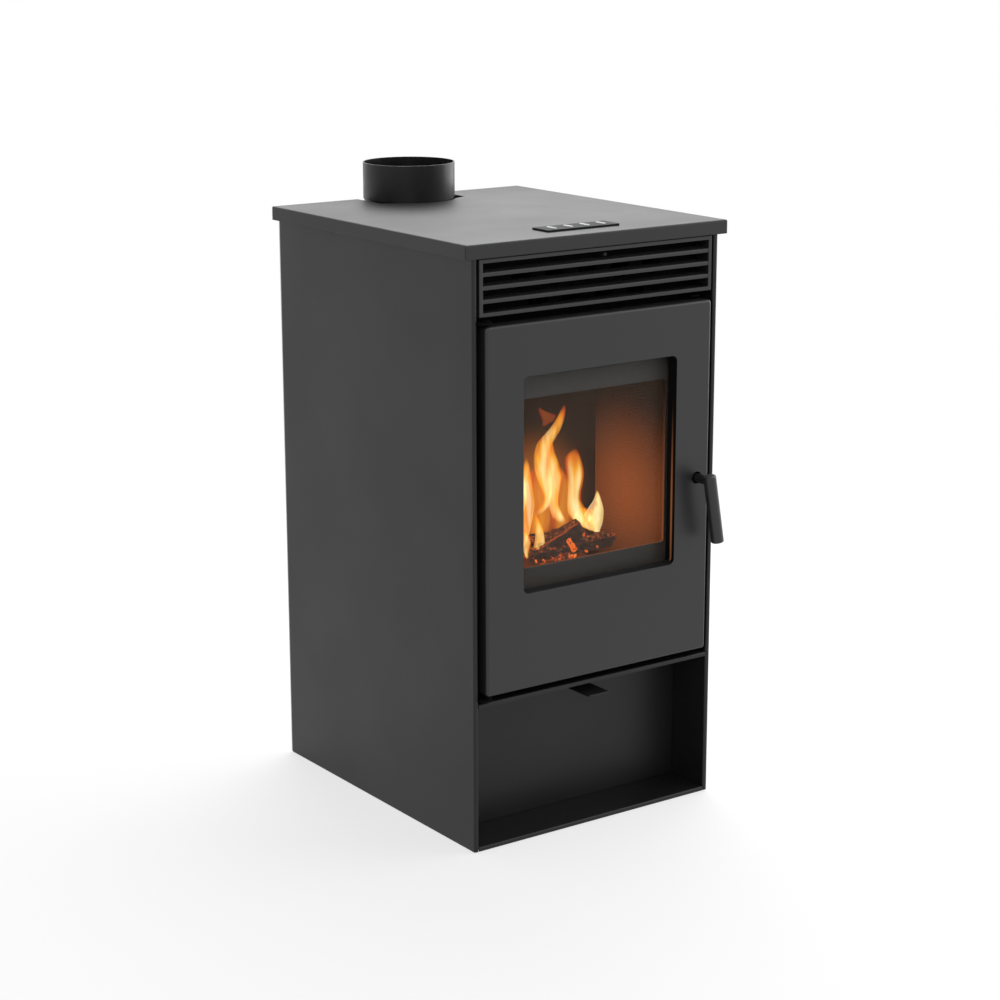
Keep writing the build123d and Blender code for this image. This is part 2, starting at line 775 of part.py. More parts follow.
with BuildPart() as auger_screw:
    with BuildSketch(auger_axis.offset(-20)):
        Circle(auger_shaft_radius)
    extrude(amount=auger_length - 12)
    flight_radius = auger_radius - auger_wall - flight_gap
    flight_middle = (flight_radius + auger_shaft_radius) / 2
    flight_foot = auger_axis.offset(6).origin
    with BuildLine() as flight_path:
        Helix(auger_pitch, auger_length - 44, flight_middle, center=flight_foot, direction=auger_axis.z_dir)
    flight_start = flight_path.line @ 0
    with BuildSketch(Plane(flight_start, x_dir=flight_start - flight_foot, z_dir=flight_path.line % 0)):
        Rectangle(flight_radius - auger_shaft_radius + 1, 2.5)
    sweep(path=flight_path.line, is_frenet=True)

with BuildPart() as auger_motor:
    with BuildSketch(auger_axis.offset(-42)):
        RectangleRounded(64, 60, 6)
    extrude(amount=40)
    with BuildSketch(auger_axis.offset(-2)):
        Circle(auger_radius + 6)
    extrude(amount=2)
    with BuildSketch(auger_axis.offset(-88)):
        Circle(26)
    extrude(amount=46)
    with BuildSketch(auger_axis.offset(-22)):
        Circle(auger_shaft_radius + running)
    extrude(amount=23, mode=Mode.SUBTRACT)

# ---------------------------------------------------------------- combustion air

air_box_back = -96
with BuildPart() as air_box:
    block((-62, 102), (niche_back + sheet + seat_gap, air_box_back), (150, slide_bottom - seat_gap))
    fillet(air_box.edges().filter_by(Axis.X).group_by(Axis.Z)[0], 5)
    offset(amount=-sheet, mode=Mode.SUBTRACT)
    block(air_hole_x, air_hole, (slide_bottom - sheet - 1, slide_bottom), Mode.SUBTRACT)
    box_back = (air_box_back - sheet - 1, air_box_back + 1)
    along(air_pipe_x, air_pipe_z, air_pipe_radius - air_pipe_wall, box_back, Mode.SUBTRACT)

with BuildPart() as air_slide:
    plate_front = niche_back + sheet + slide_travel + 2
    with BuildSketch(Plane.XY.offset(slide_bottom)) as slide_outline:
        with Locations((0, (tab_front + plate_front) / 2)):
            Rectangle(tab_width, plate_front - tab_front + 2)
        with Locations((0, (plate_front + air_box_back) / 2)):
            Rectangle(air_hole_width + 16, air_box_back - plate_front)
        fillet(slide_outline.vertices().group_by(Axis.Y)[0], 3)
        with Locations((0, air_hole_y)):
            Rectangle(air_hole_width - 8, air_hole_depth - 2, mode=Mode.SUBTRACT)
    extrude(amount=slide_sheet)

pipe_end = rear_y + air_pipe_out
with BuildPart() as air_intake_pipe:
    along(air_pipe_x, air_pipe_z, air_pipe_radius - air_swage, (air_box_back, pipe_end - air_spigot))
    along(air_pipe_x, air_pipe_z, air_pipe_radius, (pipe_end - air_spigot, pipe_end))
    bore = (air_box_back - 1, pipe_end + 1)
    along(air_pipe_x, air_pipe_z, air_pipe_radius - air_pipe_wall, bore, Mode.SUBTRACT)

# ---------------------------------------------------------------- convection fan

shroud_radius = rotor_radius + 5
with BuildPart() as blower_housing:
    with BuildSketch(Plane.YZ):
        with Locations((blower_y, blower_z)):
            Circle(shroud_radius + 2)
            Circle(shroud_radius, mode=Mode.SUBTRACT)
        with Locations((blower_y + 30, blower_z + 5)):
            Rectangle(60, 70, mode=Mode.SUBTRACT)
        with Locations((blower_y + 8, blower_z + 45)):
            Rectangle(30, 60, mode=Mode.SUBTRACT)
        with Locations((blower_y, floor_top + 1)):
            Rectangle(90, 2)
        with Locations((blower_y, (floor_top + blower_z - shroud_radius) / 2)):
            Rectangle(20, blower_z - shroud_radius - floor_top - 0.5)
    extrude(amount=blower_half, both=True)
    for side in (-1, 1):
        cheek = sorted((side * blower_half, side * (blower_half + 2)))
        with BuildSketch(Plane.YZ.offset(cheek[0])):
            with Locations((blower_y, (floor_top + blower_z) / 2)):
                Rectangle(84, blower_z - floor_top)
            with Locations((blower_y, blower_z)):
                Circle(shroud_radius + 2)
                Circle(motor_shaft_radius + running, mode=Mode.SUBTRACT)
        extrude(amount=2)

with BuildPart() as blower_rotor:
    across(blower_y, blower_z, motor_shaft_radius, (-blower_half - 1.5, blower_half + 14))
    for x in (-blower_half + 3, -1, blower_half - 5):
        across(blower_y, blower_z, rotor_radius, (x, x + 2))
    with BuildSketch(Plane.YZ.offset(-blower_half + 3)):
        with Locations((blower_y, blower_z)), PolarLocations(rotor_radius - 6, 20):
            with Locations(Rotation(0, 0, 28)):
                Rectangle(9, 1)
    extrude(amount=2 * blower_half - 6)

with BuildPart() as blower_motor:
    across(blower_y, blower_z, 27, (blower_half + 2, blower_half + 50))
    fillet(blower_motor.faces().sort_by(Axis.X)[-1].edges(), 4)
    across(blower_y, blower_z, motor_shaft_radius + running, (blower_half + 1, blower_half + 16), Mode.SUBTRACT)

# ---------------------------------------------------------------- electrics

board_x = half_width - sheet
with BuildPart() as control_board:
    block((board_x - 14, board_x - 12.4), (20, 150), (300, 420))
    for y in (28, 142):
        for z in (308, 412):
            across(y, z, 4, (board_x - 12.4, board_x))
    block((board_x - 38, board_x - 14), (60, 92), (330, 362))
    for z in (306, 330, 354, 378):
        block((board_x - 26, board_x - 14), (118, 144), (z, z + 18))
    across(44, 395, 9, (board_x - 34, board_x - 14))

with BuildPart() as mains_inlet:
    block((137, 163), (rear_y - 30, rear_y), (67, 113))
    block((130, 170), (rear_y, rear_y + 2.5), (62, 118))
    fillet(mains_inlet.faces().sort_by(Axis.Y)[-1].edges().filter_by(Axis.Y, reverse=True), 1)
    block((140, 160), (rear_y - 15, rear_y + 3), (74, 106), Mode.SUBTRACT)
    for x, z in ((150, 96), (150, 90), (150, 84)):
        block((x - 1, x + 1), (rear_y - 15, rear_y - 2), (z - 1.5, z + 1.5))

# ---------------------------------------------------------------- door

post_x = door_half - 17.5
post_rows = (door_bottom + 18, window_bottom + 30, window_top - 76, door_top - 18)
posts_at = [(x, z) for x in (-post_x, post_x) for z in post_rows]
frame_half = door_half - sheet - seat_gap
frame_low = door_bottom + sheet + seat_gap
frame_high = door_top - sheet - seat_gap
window_height = window_top - window_bottom

with BuildPart() as door_skin:
    with BuildSketch(facing_front(door_rear)):
        with Locations((0, (door_bottom + door_top) / 2)):
            RectangleRounded(2 * door_half, door_top - door_bottom, door_edge + 1)
    extrude(amount=door_return)
    fillet(door_skin.faces().sort_by(Axis.Y)[0].edges(), door_edge)
    offset(amount=-sheet, openings=door_skin.faces().sort_by(Axis.Y)[-1])
    with BuildSketch(facing_front(reveal_rear)):
        with Locations((0, window_mid)):
            RectangleRounded(2 * (window_half + sheet), window_height + 2 * sheet, window_corner + sheet)
    extrude(amount=reveal_depth - 1)
    with BuildSketch(facing_front(reveal_rear)):
        with Locations((0, window_mid)):
            RectangleRounded(2 * (window_half + gasket_width), window_height + 2 * gasket_width, window_corner)
    extrude(amount=sheet)
    with BuildSketch(facing_front(reveal_rear + 1)):
        with Locations((0, window_mid)):
            RectangleRounded(2 * window_half, window_height, window_corner)
    extrude(amount=reveal_depth + 2, mode=Mode.SUBTRACT)
    for x, z in posts_at:
        along(x, z, 5.5, (door_face + sheet, glass_rear))
        along(x, z, 2.5, (glass_rear - 14, glass_rear + 1), Mode.SUBTRACT)
    along(handle_x, handle_z, stem_radius + 2.5, (door_face - 1, door_face + sheet + 1), Mode.SUBTRACT)
    upright(hinge_x, hinge_y, hinge_pin_radius + running, (door_bottom - 1, door_top + 1), Mode.SUBTRACT)

with BuildPart() as glass_gasket:
    with BuildSketch(facing_front(glass_front)):
        with Locations((0, window_mid)):
            RectangleRounded(2 * (window_half + gasket_width), window_height + 2 * gasket_width, window_corner)
            RectangleRounded(2 * window_half, window_height, window_corner, mode=Mode.SUBTRACT)
    extrude(amount=gasket_thick)

with BuildPart() as door_glass:
    with BuildSketch(facing_front(glass_rear)):
        with Locations((0, window_mid)):
            RectangleRounded(2 * (window_half + glass_overlap), window_height + 2 * glass_overlap, 5)
    extrude(amount=glass_thick)
    chamfer(door_glass.faces().sort_by(Axis.Y)[0].edges(), 0.8)

rope_half = mouth_width / 2 + rope_margin
rope_height = mouth_top - mouth_bottom + 2 * rope_margin


def rope_ring(outside, inside):
    """Rounded frame round the firebox mouth, between two distances from the rope's centre line."""
    with Locations((0, mouth_mid)):
        RectangleRounded(2 * (rope_half + outside), rope_height + 2 * outside, 18 + outside)
        RectangleRounded(2 * (rope_half + inside), rope_height + 2 * inside, 18 + inside, mode=Mode.SUBTRACT)


with BuildPart() as door_frame:
    with BuildSketch(facing_front(door_frame_rear)):
        with Locations((0, (frame_low + frame_high) / 2)):
            RectangleRounded(2 * frame_half, frame_high - frame_low, 2)
        with Locations((0, view_mid)):
            RectangleRounded(2 * window_half, view_top - view_bottom, 5, mode=Mode.SUBTRACT)
        with Locations((handle_x, handle_z)):
            Circle(stem_radius + running, mode=Mode.SUBTRACT)
        with Locations(*posts_at):
            Circle(2.5, mode=Mode.SUBTRACT)
    extrude(amount=door_frame_thick)
    for outside, inside in ((7, 5), (-5, -7)):
        with BuildSketch(facing_front(door_frame_rear + 4)):
            rope_ring(outside, inside)
        extrude(amount=4)

with BuildPart() as door_rope:
    with BuildSketch(facing_front(frame_front - seat_gap)):
        rope_ring(rope_radius, -rope_radius)
    extrude(amount=2 * rope_radius)
    fillet(door_rope.faces().sort_by(Axis.Y)[0].edges() + door_rope.faces().sort_by(Axis.Y)[-1].edges(), 3.5)

with BuildPart() as door_screws:
    for x, z in posts_at:
        along(x, z, 2.5 - screw_gap, (glass_rear - 12, door_frame_rear))
        along(x, z, 4.5, (door_frame_rear, door_frame_rear + 2.4))
    fillet(door_screws.faces().sort_by(Axis.Y)[-8:].edges(), 1)

# ---------------------------------------------------------------- handle

grip_y = door_face - stem_reach
cam_front = keeper_front + keeper_sheet + 0.4
cam_back = cam_front + cam_thick
with BuildPart() as handle_stem:
    along(handle_x, handle_z, stem_radius, (grip_y - 3, cam_front))
    along(handle_x, handle_z, spindle_radius, (cam_front, cam_back + 0.5))

grip_axis = Plane(
    origin=(handle_x, grip_y, handle_z),
    x_dir=(0, 1, 0),
    z_dir=Vector(0, 0, -1).rotate(Axis.Y, -grip_lean),
)
with BuildPart() as handle_grip:
    with BuildSketch(grip_axis.offset(-grip_above)):
        Circle(grip_radius)
    extrude(amount=grip_length)
    fillet(handle_grip.edges().filter_by(GeomType.CIRCLE), 1.5)
    along(handle_x, handle_z, stem_radius, (grip_y - 3, grip_y + grip_radius + 1), Mode.SUBTRACT)

with BuildPart() as latch_cam:
    with BuildSketch(facing_front(cam_back)) as cam_outline:
        with Locations((handle_x, handle_z)):
            Circle(10)
        with Locations((handle_x, handle_z + cam_reach / 2)):
            Rectangle(12, cam_reach)
        fillet(cam_outline.vertices().group_by(Axis.Y)[-1], 4)
        with Locations((handle_x, handle_z)):
            Circle(spindle_radius, mode=Mode.SUBTRACT)
    extrude(amount=cam_thick)

# ---------------------------------------------------------------- lid and control panel

lid_half = lid_width / 2
notch_half = flue_radius + 6
notch_corner_y = flue_y - 42
notch_radius = flue_radius + 2
tangent = notch_radius / 2**0.5

with BuildPart() as top_plate:
    block((-lid_half, lid_half), (lid_front, lid_rear), (lid_top - lid_flange, lid_top))
    fillet(top_plate.faces().sort_by(Axis.Z)[-1].edges() - top_plate.edges().group_by(Axis.Y)[-1], 2.5)
    block(
        (-lid_half + sheet, lid_half - sheet),
        (lid_front + sheet, lid_rear + 1),
        (lid_top - lid_flange - 1, lid_underside),
        Mode.SUBTRACT,
    )
    for side in (-1, 1):
        seam = sorted((side * (lid_half + 1), side * (lid_half - sheet)))
        block(
            seam,
            (lid_front + sheet, lid_front + sheet + lid_seam),
            (lid_top - lid_flange - 1, lid_underside - 1),
            Mode.SUBTRACT,
        )
    # Notch open to the rear: an arc round the flue, then slanted and straight sides
    with BuildSketch(Plane.XY.offset(lid_underside - 1)):
        with BuildLine():
            arc = ThreePointArc((-tangent, flue_y - tangent), (0, flue_y - notch_radius), (tangent, flue_y - tangent))
            Polyline(
                arc @ 1,
                (notch_half, notch_corner_y),
                (notch_half, lid_rear + 1),
                (-notch_half, lid_rear + 1),
                (-notch_half, notch_corner_y),
                arc @ 0,
            )
        make_face()
    extrude(amount=sheet + 2, mode=Mode.SUBTRACT)
    block(
        (-panel_width / 2 + 6, panel_width / 2 - 6),
        (panel_y - panel_depth / 2 + 6, panel_y + panel_depth / 2 - 6),
        (lid_underside - 1, lid_top + 1),
        Mode.SUBTRACT,
    )
    for side in (-1, 1):
        lug = sorted((side * (lid_ear_x + 2), side * (lid_ear_x + 5)))
        across(lid_hinge_y, lid_hinge_z, lid_ear_radius, lug)
        lug_y = (lid_hinge_y - lid_ear_radius, lid_hinge_y + lid_ear_radius)
        block(lug, lug_y, (lid_hinge_z, lid_underside))
        across(lid_hinge_y, lid_hinge_z, lid_pin_radius + running, (lug[0] - 1, lug[1] + 1), Mode.SUBTRACT)

button_places = [((number - (button_count - 1) / 2) * button_pitch, panel_y) for number in range(button_count)]
panel_face = lid_top + panel_thick
board_top = lid_top - 8
with BuildPart() as control_panel:
    with BuildSketch(Plane.XY.offset(lid_top)):
        with Locations((0, panel_y)):
            RectangleRounded(panel_width, panel_depth, 2)
        with Locations(*button_places):
            SlotOverall(button_length, button_width, rotation=90, mode=Mode.SUBTRACT)
    extrude(amount=panel_thick)
    chamfer(control_panel.faces().sort_by(Axis.Z)[-1].outer_wire().edges(), 0.5)
    with Locations((0, panel_y, board_top)), GridLocations(panel_width - 20, panel_depth - 20, 2, 2):
        Cylinder(2.5, lid_top - board_top, align=(Align.CENTER, Align.CENTER, Align.MIN))

with BuildPart() as button_board:
    with BuildSketch(Plane.XY.offset(board_top)):
        with Locations((0, panel_y)):
            Rectangle(panel_width - 13, panel_depth - 13)
    extrude(amount=-1.6)

button_cap_base = lid_top - seat_gap
button_flange = 1.2
with BuildPart() as button_blank:
    with BuildSketch(Plane.XY.offset(button_cap_base)):
        SlotOverall(button_length - 2 * seat_gap, button_width - 2 * seat_gap, rotation=90)
    extrude(amount=panel_face + button_proud - button_cap_base)
    fillet(button_blank.faces().sort_by(Axis.Z)[-1].edges(), 1.1)
    with BuildSketch(Plane.XY.offset(button_cap_base - button_flange)):
        SlotOverall(button_length + 1.6, button_width + 1.6, rotation=90)
    extrude(amount=button_flange)
    upright(0, 0, 1.5, (board_top + button_travel + seat_gap, button_cap_base - button_flange))

buttons = []
for x, y in button_places:
    with BuildPart() as button:
        with Locations((x, y)):
            add(button_blank.part)
    buttons.append(button)

# ---------------------------------------------------------------- files

pieces = {
    "base_tray": base_tray,
    "glides": glides,
    "left_side_panel": left_side_panel,
    "right_side_panel": right_side_panel,
    "rear_panel": rear_panel,
    "casing_screws": casing_screws,
    "niche_liner": niche_liner,
    "front_frame": front_frame,
    "air_grille": air_grille,
    "top_front_rail": top_front_rail,
    "hinge_brackets": hinge_brackets,
    "hinge_pins": hinge_pins,
    "lid_hinge_pins": lid_hinge_pins,
    "firebox_shell": firebox_shell,
    "exchanger_tubes": exchanger_tubes,
    "tube_scraper": tube_scraper,
    "side_liners": side_liners,
    "back_liner": back_liner,
    "baffle_plate": baffle_plate,
    "pot_holder": pot_holder,
    "burn_pot": burn_pot,
    "ember_bed": ember_bed,
    "charred_logs": charred_logs,
    "ash_pan": ash_pan,
    "igniter": igniter,
    "smoke_collector": smoke_collector,
    "exhaust_pipe": exhaust_pipe,
    "exhaust_fan_housing": exhaust_fan_housing,
    "exhaust_impeller": exhaust_impeller,
    "exhaust_motor": exhaust_motor,
    "smoke_box": smoke_box,
    "flue_collar": flue_collar,
    "hopper": hopper,
    "auger_tube": auger_tube,
    "auger_screw": auger_screw,
    "auger_motor": auger_motor,
    "air_box": air_box,
    "air_slide": air_slide,
    "air_intake_pipe": air_intake_pipe,
    "blower_housing": blower_housing,
    "blower_rotor": blower_rotor,
    "blower_motor": blower_motor,
    "control_board": control_board,
    "mains_inlet": mains_inlet,
    "door_skin": door_skin,
    "glass_gasket": glass_gasket,
    "door_glass": door_glass,
    "door_frame": door_frame,
    "door_rope": door_rope,
    "door_screws": door_screws,
    "handle_stem": handle_stem,
    "handle_grip": handle_grip,
    "latch_cam": latch_cam,
    "top_plate": top_plate,
    "control_panel": control_panel,
    "button_board": button_board,
}
for number, button in enumerate(buttons, 1):
    pieces[f"button_{number}"] = button

for name, piece in pieces.items():
    piece.part.label = name
    export_step(piece.part, f"parts/{name}.step")
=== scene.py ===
"""Finishes, fire, seals, floor, light and camera of a pellet stove, over its CAD frame.

Metres, +Z up, the front towards -Y, as in the frame. Every place is worked out from the frame's
own boxes. Sizes that are named in millimetres go through mm().
"""
import math
import random

import bmesh
import bpy
from bpy.props import FloatProperty, FloatVectorProperty, IntProperty, PointerProperty
from mathutils import Euler, Matrix, Vector, noise


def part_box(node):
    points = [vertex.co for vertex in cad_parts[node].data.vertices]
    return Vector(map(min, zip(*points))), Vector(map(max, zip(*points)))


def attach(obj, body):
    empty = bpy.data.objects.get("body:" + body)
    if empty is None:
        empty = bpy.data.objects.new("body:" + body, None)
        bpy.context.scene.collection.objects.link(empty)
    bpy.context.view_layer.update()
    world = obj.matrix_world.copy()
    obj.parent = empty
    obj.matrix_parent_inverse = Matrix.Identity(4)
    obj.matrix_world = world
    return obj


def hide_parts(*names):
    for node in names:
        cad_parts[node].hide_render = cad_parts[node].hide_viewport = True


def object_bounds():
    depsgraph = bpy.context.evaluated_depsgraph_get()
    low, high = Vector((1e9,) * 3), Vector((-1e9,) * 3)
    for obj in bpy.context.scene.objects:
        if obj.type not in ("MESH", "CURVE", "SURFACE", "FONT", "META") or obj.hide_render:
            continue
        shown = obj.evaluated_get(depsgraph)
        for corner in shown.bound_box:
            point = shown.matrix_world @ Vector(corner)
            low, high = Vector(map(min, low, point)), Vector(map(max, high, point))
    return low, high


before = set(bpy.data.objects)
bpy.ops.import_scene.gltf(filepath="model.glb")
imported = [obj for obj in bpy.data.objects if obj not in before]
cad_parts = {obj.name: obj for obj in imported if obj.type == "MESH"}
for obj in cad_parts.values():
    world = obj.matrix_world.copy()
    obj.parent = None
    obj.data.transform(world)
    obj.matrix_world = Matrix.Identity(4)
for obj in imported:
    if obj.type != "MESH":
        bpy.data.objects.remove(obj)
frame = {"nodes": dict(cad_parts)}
cad_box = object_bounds()

bl_info = {
    "name": "Pellet Stove",
    "version": (1, 0, 0),
    "blender": (4, 5, 0),
    "location": "View3D > Sidebar > Stove",
    "description": "Builds the finishes, fire and stage of a pellet stove",
    "category": "Object",
}


def mm(value):
    """Millimetres as metres."""
    return value / 1000


def per_feature(size):
    """Texture scale that gives features of a size in millimetres on a part in metres."""
    return 1000 / size


def linear(code):
    """An sRGB hex colour as linear red, green, blue and alpha."""
    channels = []
    for start in (1, 3, 5):
        value = int(code[start : start + 2], 16) / 255
        channels.append(value / 12.92 if value <= 0.04045 else ((value + 0.055) / 1.055) ** 2.4)
    return (*channels, 1.0)


def scaled(colour, factor):
    """A darker or lighter colour."""
    return tuple(part * factor for part in colour[:3]) + (1.0,)


black, white = linear("#000000"), linear("#ffffff")


# ---------------------------------------------------------------- sizes and colours to change


def paint_colour(label, about, code):
    """A colour that the user can change."""
    return FloatVectorProperty(
        name=label, description=about, default=linear(code), size=4, min=0, max=1, subtype="COLOR"
    )


class StoveColours(bpy.types.PropertyGroup):
    """Colours of the stove's finishes."""

    casing: paint_colour("Casing", "Heat-resistant paint on the sides, niche and grille", "#161617")
    door: paint_colour("Door", "Heat-resistant paint on the door", "#202022")
    lid: paint_colour("Top plate", "Heat-resistant paint on the lift-up top", "#333334")
    # Lighter than the door's paint: painted light for the frame, which lies in shade behind the glass
    frame: paint_colour("Door frame", "Heat-resistant paint on the frame behind the glass", "#3e4040")
    # Near-black, and so also painted shade for the parts that lie in shade behind the grille and the door
    inner: paint_colour("Inner steel", "Matt black paint behind the grille and the door", "#060606")
    flue: paint_colour("Flue", "Enamel on the flue collar", "#080809")
    grip: paint_colour("Grip", "Paint on the handle's grip", "#242425")
    panel: paint_colour("Button panel", "Moulded panel on the top", "#262628")
    # Pale, and so partly a painted highlight for the shine on the caps
    button: paint_colour("Buttons", "Moulded button caps", "#c2c2c4")
    liner: paint_colour("Firebox liners", "Cast iron, brown from the heat", "#261a13")
    wood: paint_colour("Charred wood", "Outside of the burnt logs", "#1a1210")
    glow: paint_colour("Glow", "Deepest orange of the embers", "#f86010")
    flame_rim: paint_colour("Flame rim", "Outer edge of the flames", "#c03206")
    flame_body: paint_colour("Flame body", "Bright part of the flames", "#efa62a")
    flame_core: paint_colour("Flame core", "Hottest streaks of the flames", "#fbeaa6")


class StoveSizes(bpy.types.PropertyGroup):
    """Sizes of what is built here and not in the frame."""

    edge: FloatProperty(
        name="Edge radius",
        description="Rounding of the painted sheet's edges",
        default=mm(1.3),
        unit="LENGTH",
    )
    pellet_length: FloatProperty(
        name="Pellet length", description="Mean length of a wood pellet", default=mm(14), unit="LENGTH"
    )
    pellet_radius: FloatProperty(
        name="Pellet radius", description="Radius of a wood pellet", default=mm(3), unit="LENGTH"
    )
    pellet_count: IntProperty(name="Pellets", description="Burning pellets on the pot", default=170, min=1)
    braid_pitch: FloatProperty(
        name="Braid pitch",
        description="Length of one plait of the sealing rope",
        default=mm(6),
        unit="LENGTH",
    )
    flame_depth: FloatProperty(
        name="Flame depth",
        description="Depth of a flame as a share of its width",
        default=0.55,
        min=0.1,
        max=1.5,
    )


# ---------------------------------------------------------------- material parts


def add(tree, kind, inputs=None, stops=(), **settings):
    """Adds a node, sets its properties and inputs, and links any input given as a socket. An input goes
    by its name, or by its number where several of the node's inputs share a name."""
    made = tree.nodes.new(kind)
    for name, value in settings.items():
        setattr(made, name, value)
    for name, value in (inputs or {}).items():
        if isinstance(value, bpy.types.NodeSocket):
            tree.links.new(value, made.inputs[name])
        else:
            made.inputs[name].default_value = value
    for number, (position, colour) in enumerate(stops):
        elements = made.color_ramp.elements
        element = elements[number] if number < 2 else elements.new(position)
        element.position = position
        element.color = colour
    return made


def start(name):
    """A new material, its node tree and in it the object's own coordinates."""
    material = bpy.data.materials.new(name)
    material.use_nodes = True
    # What glows is faint beside the lamps, so only rays that chance on it gather its light
    material.cycles.emission_sampling = "NONE"
    tree = material.node_tree
    tree.nodes.clear()
    return material, tree, add(tree, "ShaderNodeTexCoord").outputs["Object"]


def seen(tree):
    """1 where the eye sees it, straight on, mirrored or through glass, and 0 where it only gives light."""
    path = add(tree, "ShaderNodeLightPath").outputs
    direct = {0: path["Is Camera Ray"], 1: path["Is Glossy Ray"]}
    direct = add(tree, "ShaderNodeMath", direct, operation="MAXIMUM").outputs[0]
    through = {0: direct, 1: path["Is Transmission Ray"]}
    return add(tree, "ShaderNodeMath", through, operation="MAXIMUM").outputs[0]


# ---------------------------------------------------------------- finishes


def heat_paint(name, colour, roughness, edge, mirror=0.5, peel=1.6):
    """Heat-resistant silicone paint, sprayed and baked on sheet steel.

    Satin and nearly black by itself: it goes pale where it mirrors the room at a low angle. A faint
    orange peel breaks the reflections up, and folded edges catch a thin line of light.
    """
    material, tree, place = start(name)
    peel_noise = add(tree, "ShaderNodeTexNoise", {"Vector": place, "Scale": per_feature(peel), "Detail": 2.0})
    cloud = add(tree, "ShaderNodeTexNoise", {"Vector": place, "Scale": per_feature(140), "Detail": 3.0})
    spread = add(
        tree,
        "ShaderNodeMapRange",
        {"Value": cloud.outputs["Fac"], 1: 0.3, 2: 0.7, 3: roughness - 0.035, 4: roughness + 0.035},
    )
    shade = add(
        tree, "ShaderNodeMix", {0: cloud.outputs["Fac"], 6: colour, 7: scaled(colour, 1.25)}, data_type="RGBA"
    )
    edges = add(tree, "ShaderNodeBevel", {"Radius": edge}, samples=4)
    bump = add(
        tree,
        "ShaderNodeBump",
        {
            "Strength": 0.12,
            "Distance": mm(0.06),
            "Height": peel_noise.outputs["Fac"],
            "Normal": edges.outputs[0],
        },
    )
    shader = add(
        tree,
        "ShaderNodeBsdfPrincipled",
        {
            "Base Color": shade.outputs[2],
            "Roughness": spread.outputs[0],
            "IOR": 1.5,
            "Specular IOR Level": mirror,
            "Normal": bump.outputs["Normal"],
        },
    )
    add(tree, "ShaderNodeOutputMaterial", {"Surface": shader.outputs[0]})
    return material


def flue_enamel(colour):
    """Vitreous enamel, fired on a rolled steel collar: deep, smooth and slightly wavy."""
    material, tree, place = start("fired_black_enamel")
    wave = add(tree, "ShaderNodeTexNoise", {"Vector": place, "Scale": per_feature(18), "Detail": 1.0})
    bump = add(
        tree, "ShaderNodeBump", {"Strength": 0.1, "Distance": mm(0.3), "Height": wave.outputs["Fac"]}
    )
    haze = add(
        tree, "ShaderNodeMapRange", {"Value": wave.outputs["Fac"], 1: 0.3, 2: 0.7, 3: 0.3, 4: 0.38}
    )
    shader = add(
        tree,
        "ShaderNodeBsdfPrincipled",
        {
            "Base Color": colour,
            "Roughness": haze.outputs[0],
            "IOR": 1.45,
            "Specular IOR Level": 0.35,
            "Normal": bump.outputs["Normal"],
        },
    )
    add(tree, "ShaderNodeOutputMaterial", {"Surface": shader.outputs[0]})
    return material


def galvanised_steel():
    """Hot-dip galvanised sheet: grey zinc crystals about 9 mm across, each a little lighter or darker."""
    material, tree, place = start("galvanised_sheet_steel")
    warp = add(tree, "ShaderNodeTexNoise", {"Vector": place, "Scale": per_feature(12), "Detail": 2.0})
    sway = (mm(4), mm(4), mm(4))
    bent = add(tree, "ShaderNodeVectorMath", {0: warp.outputs["Color"], 1: sway}, operation="MULTIPLY")
    moved = add(tree, "ShaderNodeVectorMath", {0: place, 1: bent.outputs[0]}, operation="ADD")
    crystal = add(tree, "ShaderNodeTexVoronoi", {"Vector": moved.outputs[0], "Scale": per_feature(9)})
    value = add(tree, "ShaderNodeSeparateColor", {0: crystal.outputs["Color"]})
    shade = add(
        tree,
        "ShaderNodeValToRGB",
        {0: value.outputs[0]},
        stops=((0.0, linear("#9fa3a5")), (1.0, linear("#aeb2b4"))),
    )
    spread = add(tree, "ShaderNodeMapRange", {"Value": value.outputs[1], 3: 0.4, 4: 0.46})
    shader = add(
        tree,
        "ShaderNodeBsdfPrincipled",
        {"Base Color": shade.outputs[0], "Metallic": 1.0, "Roughness": spread.outputs[0]},
    )
    add(tree, "ShaderNodeOutputMaterial", {"Surface": shader.outputs[0]})
    return material


def turned_steel():
    """Bare machined steel with tool marks. The marks are drawn 0.8 mm apart, coarser than real, to show."""
    material, tree, place = start("turned_bright_steel")
    marks = add(tree, "ShaderNodeTexNoise", {"Vector": place, "Scale": per_feature(0.8), "Detail": 1.0})
    tarnish = add(tree, "ShaderNodeTexNoise", {"Vector": place, "Scale": per_feature(22), "Detail": 4.0})
    shade = add(
        tree,
        "ShaderNodeValToRGB",
        {0: tarnish.outputs["Fac"]},
        stops=((0.35, linear("#7d7b78")), (0.65, linear("#a9a9a8"))),
    )
    bump = add(
        tree, "ShaderNodeBump", {"Strength": 0.15, "Distance": mm(0.05), "Height": marks.outputs["Fac"]}
    )
    shader = add(
        tree,
        "ShaderNodeBsdfPrincipled",
        {
            "Base Color": shade.outputs[0],
            "Metallic": 1.0,
            "Roughness": 0.32,
            "Normal": bump.outputs["Normal"],
        },
    )
    add(tree, "ShaderNodeOutputMaterial", {"Surface": shader.outputs[0]})
    return material


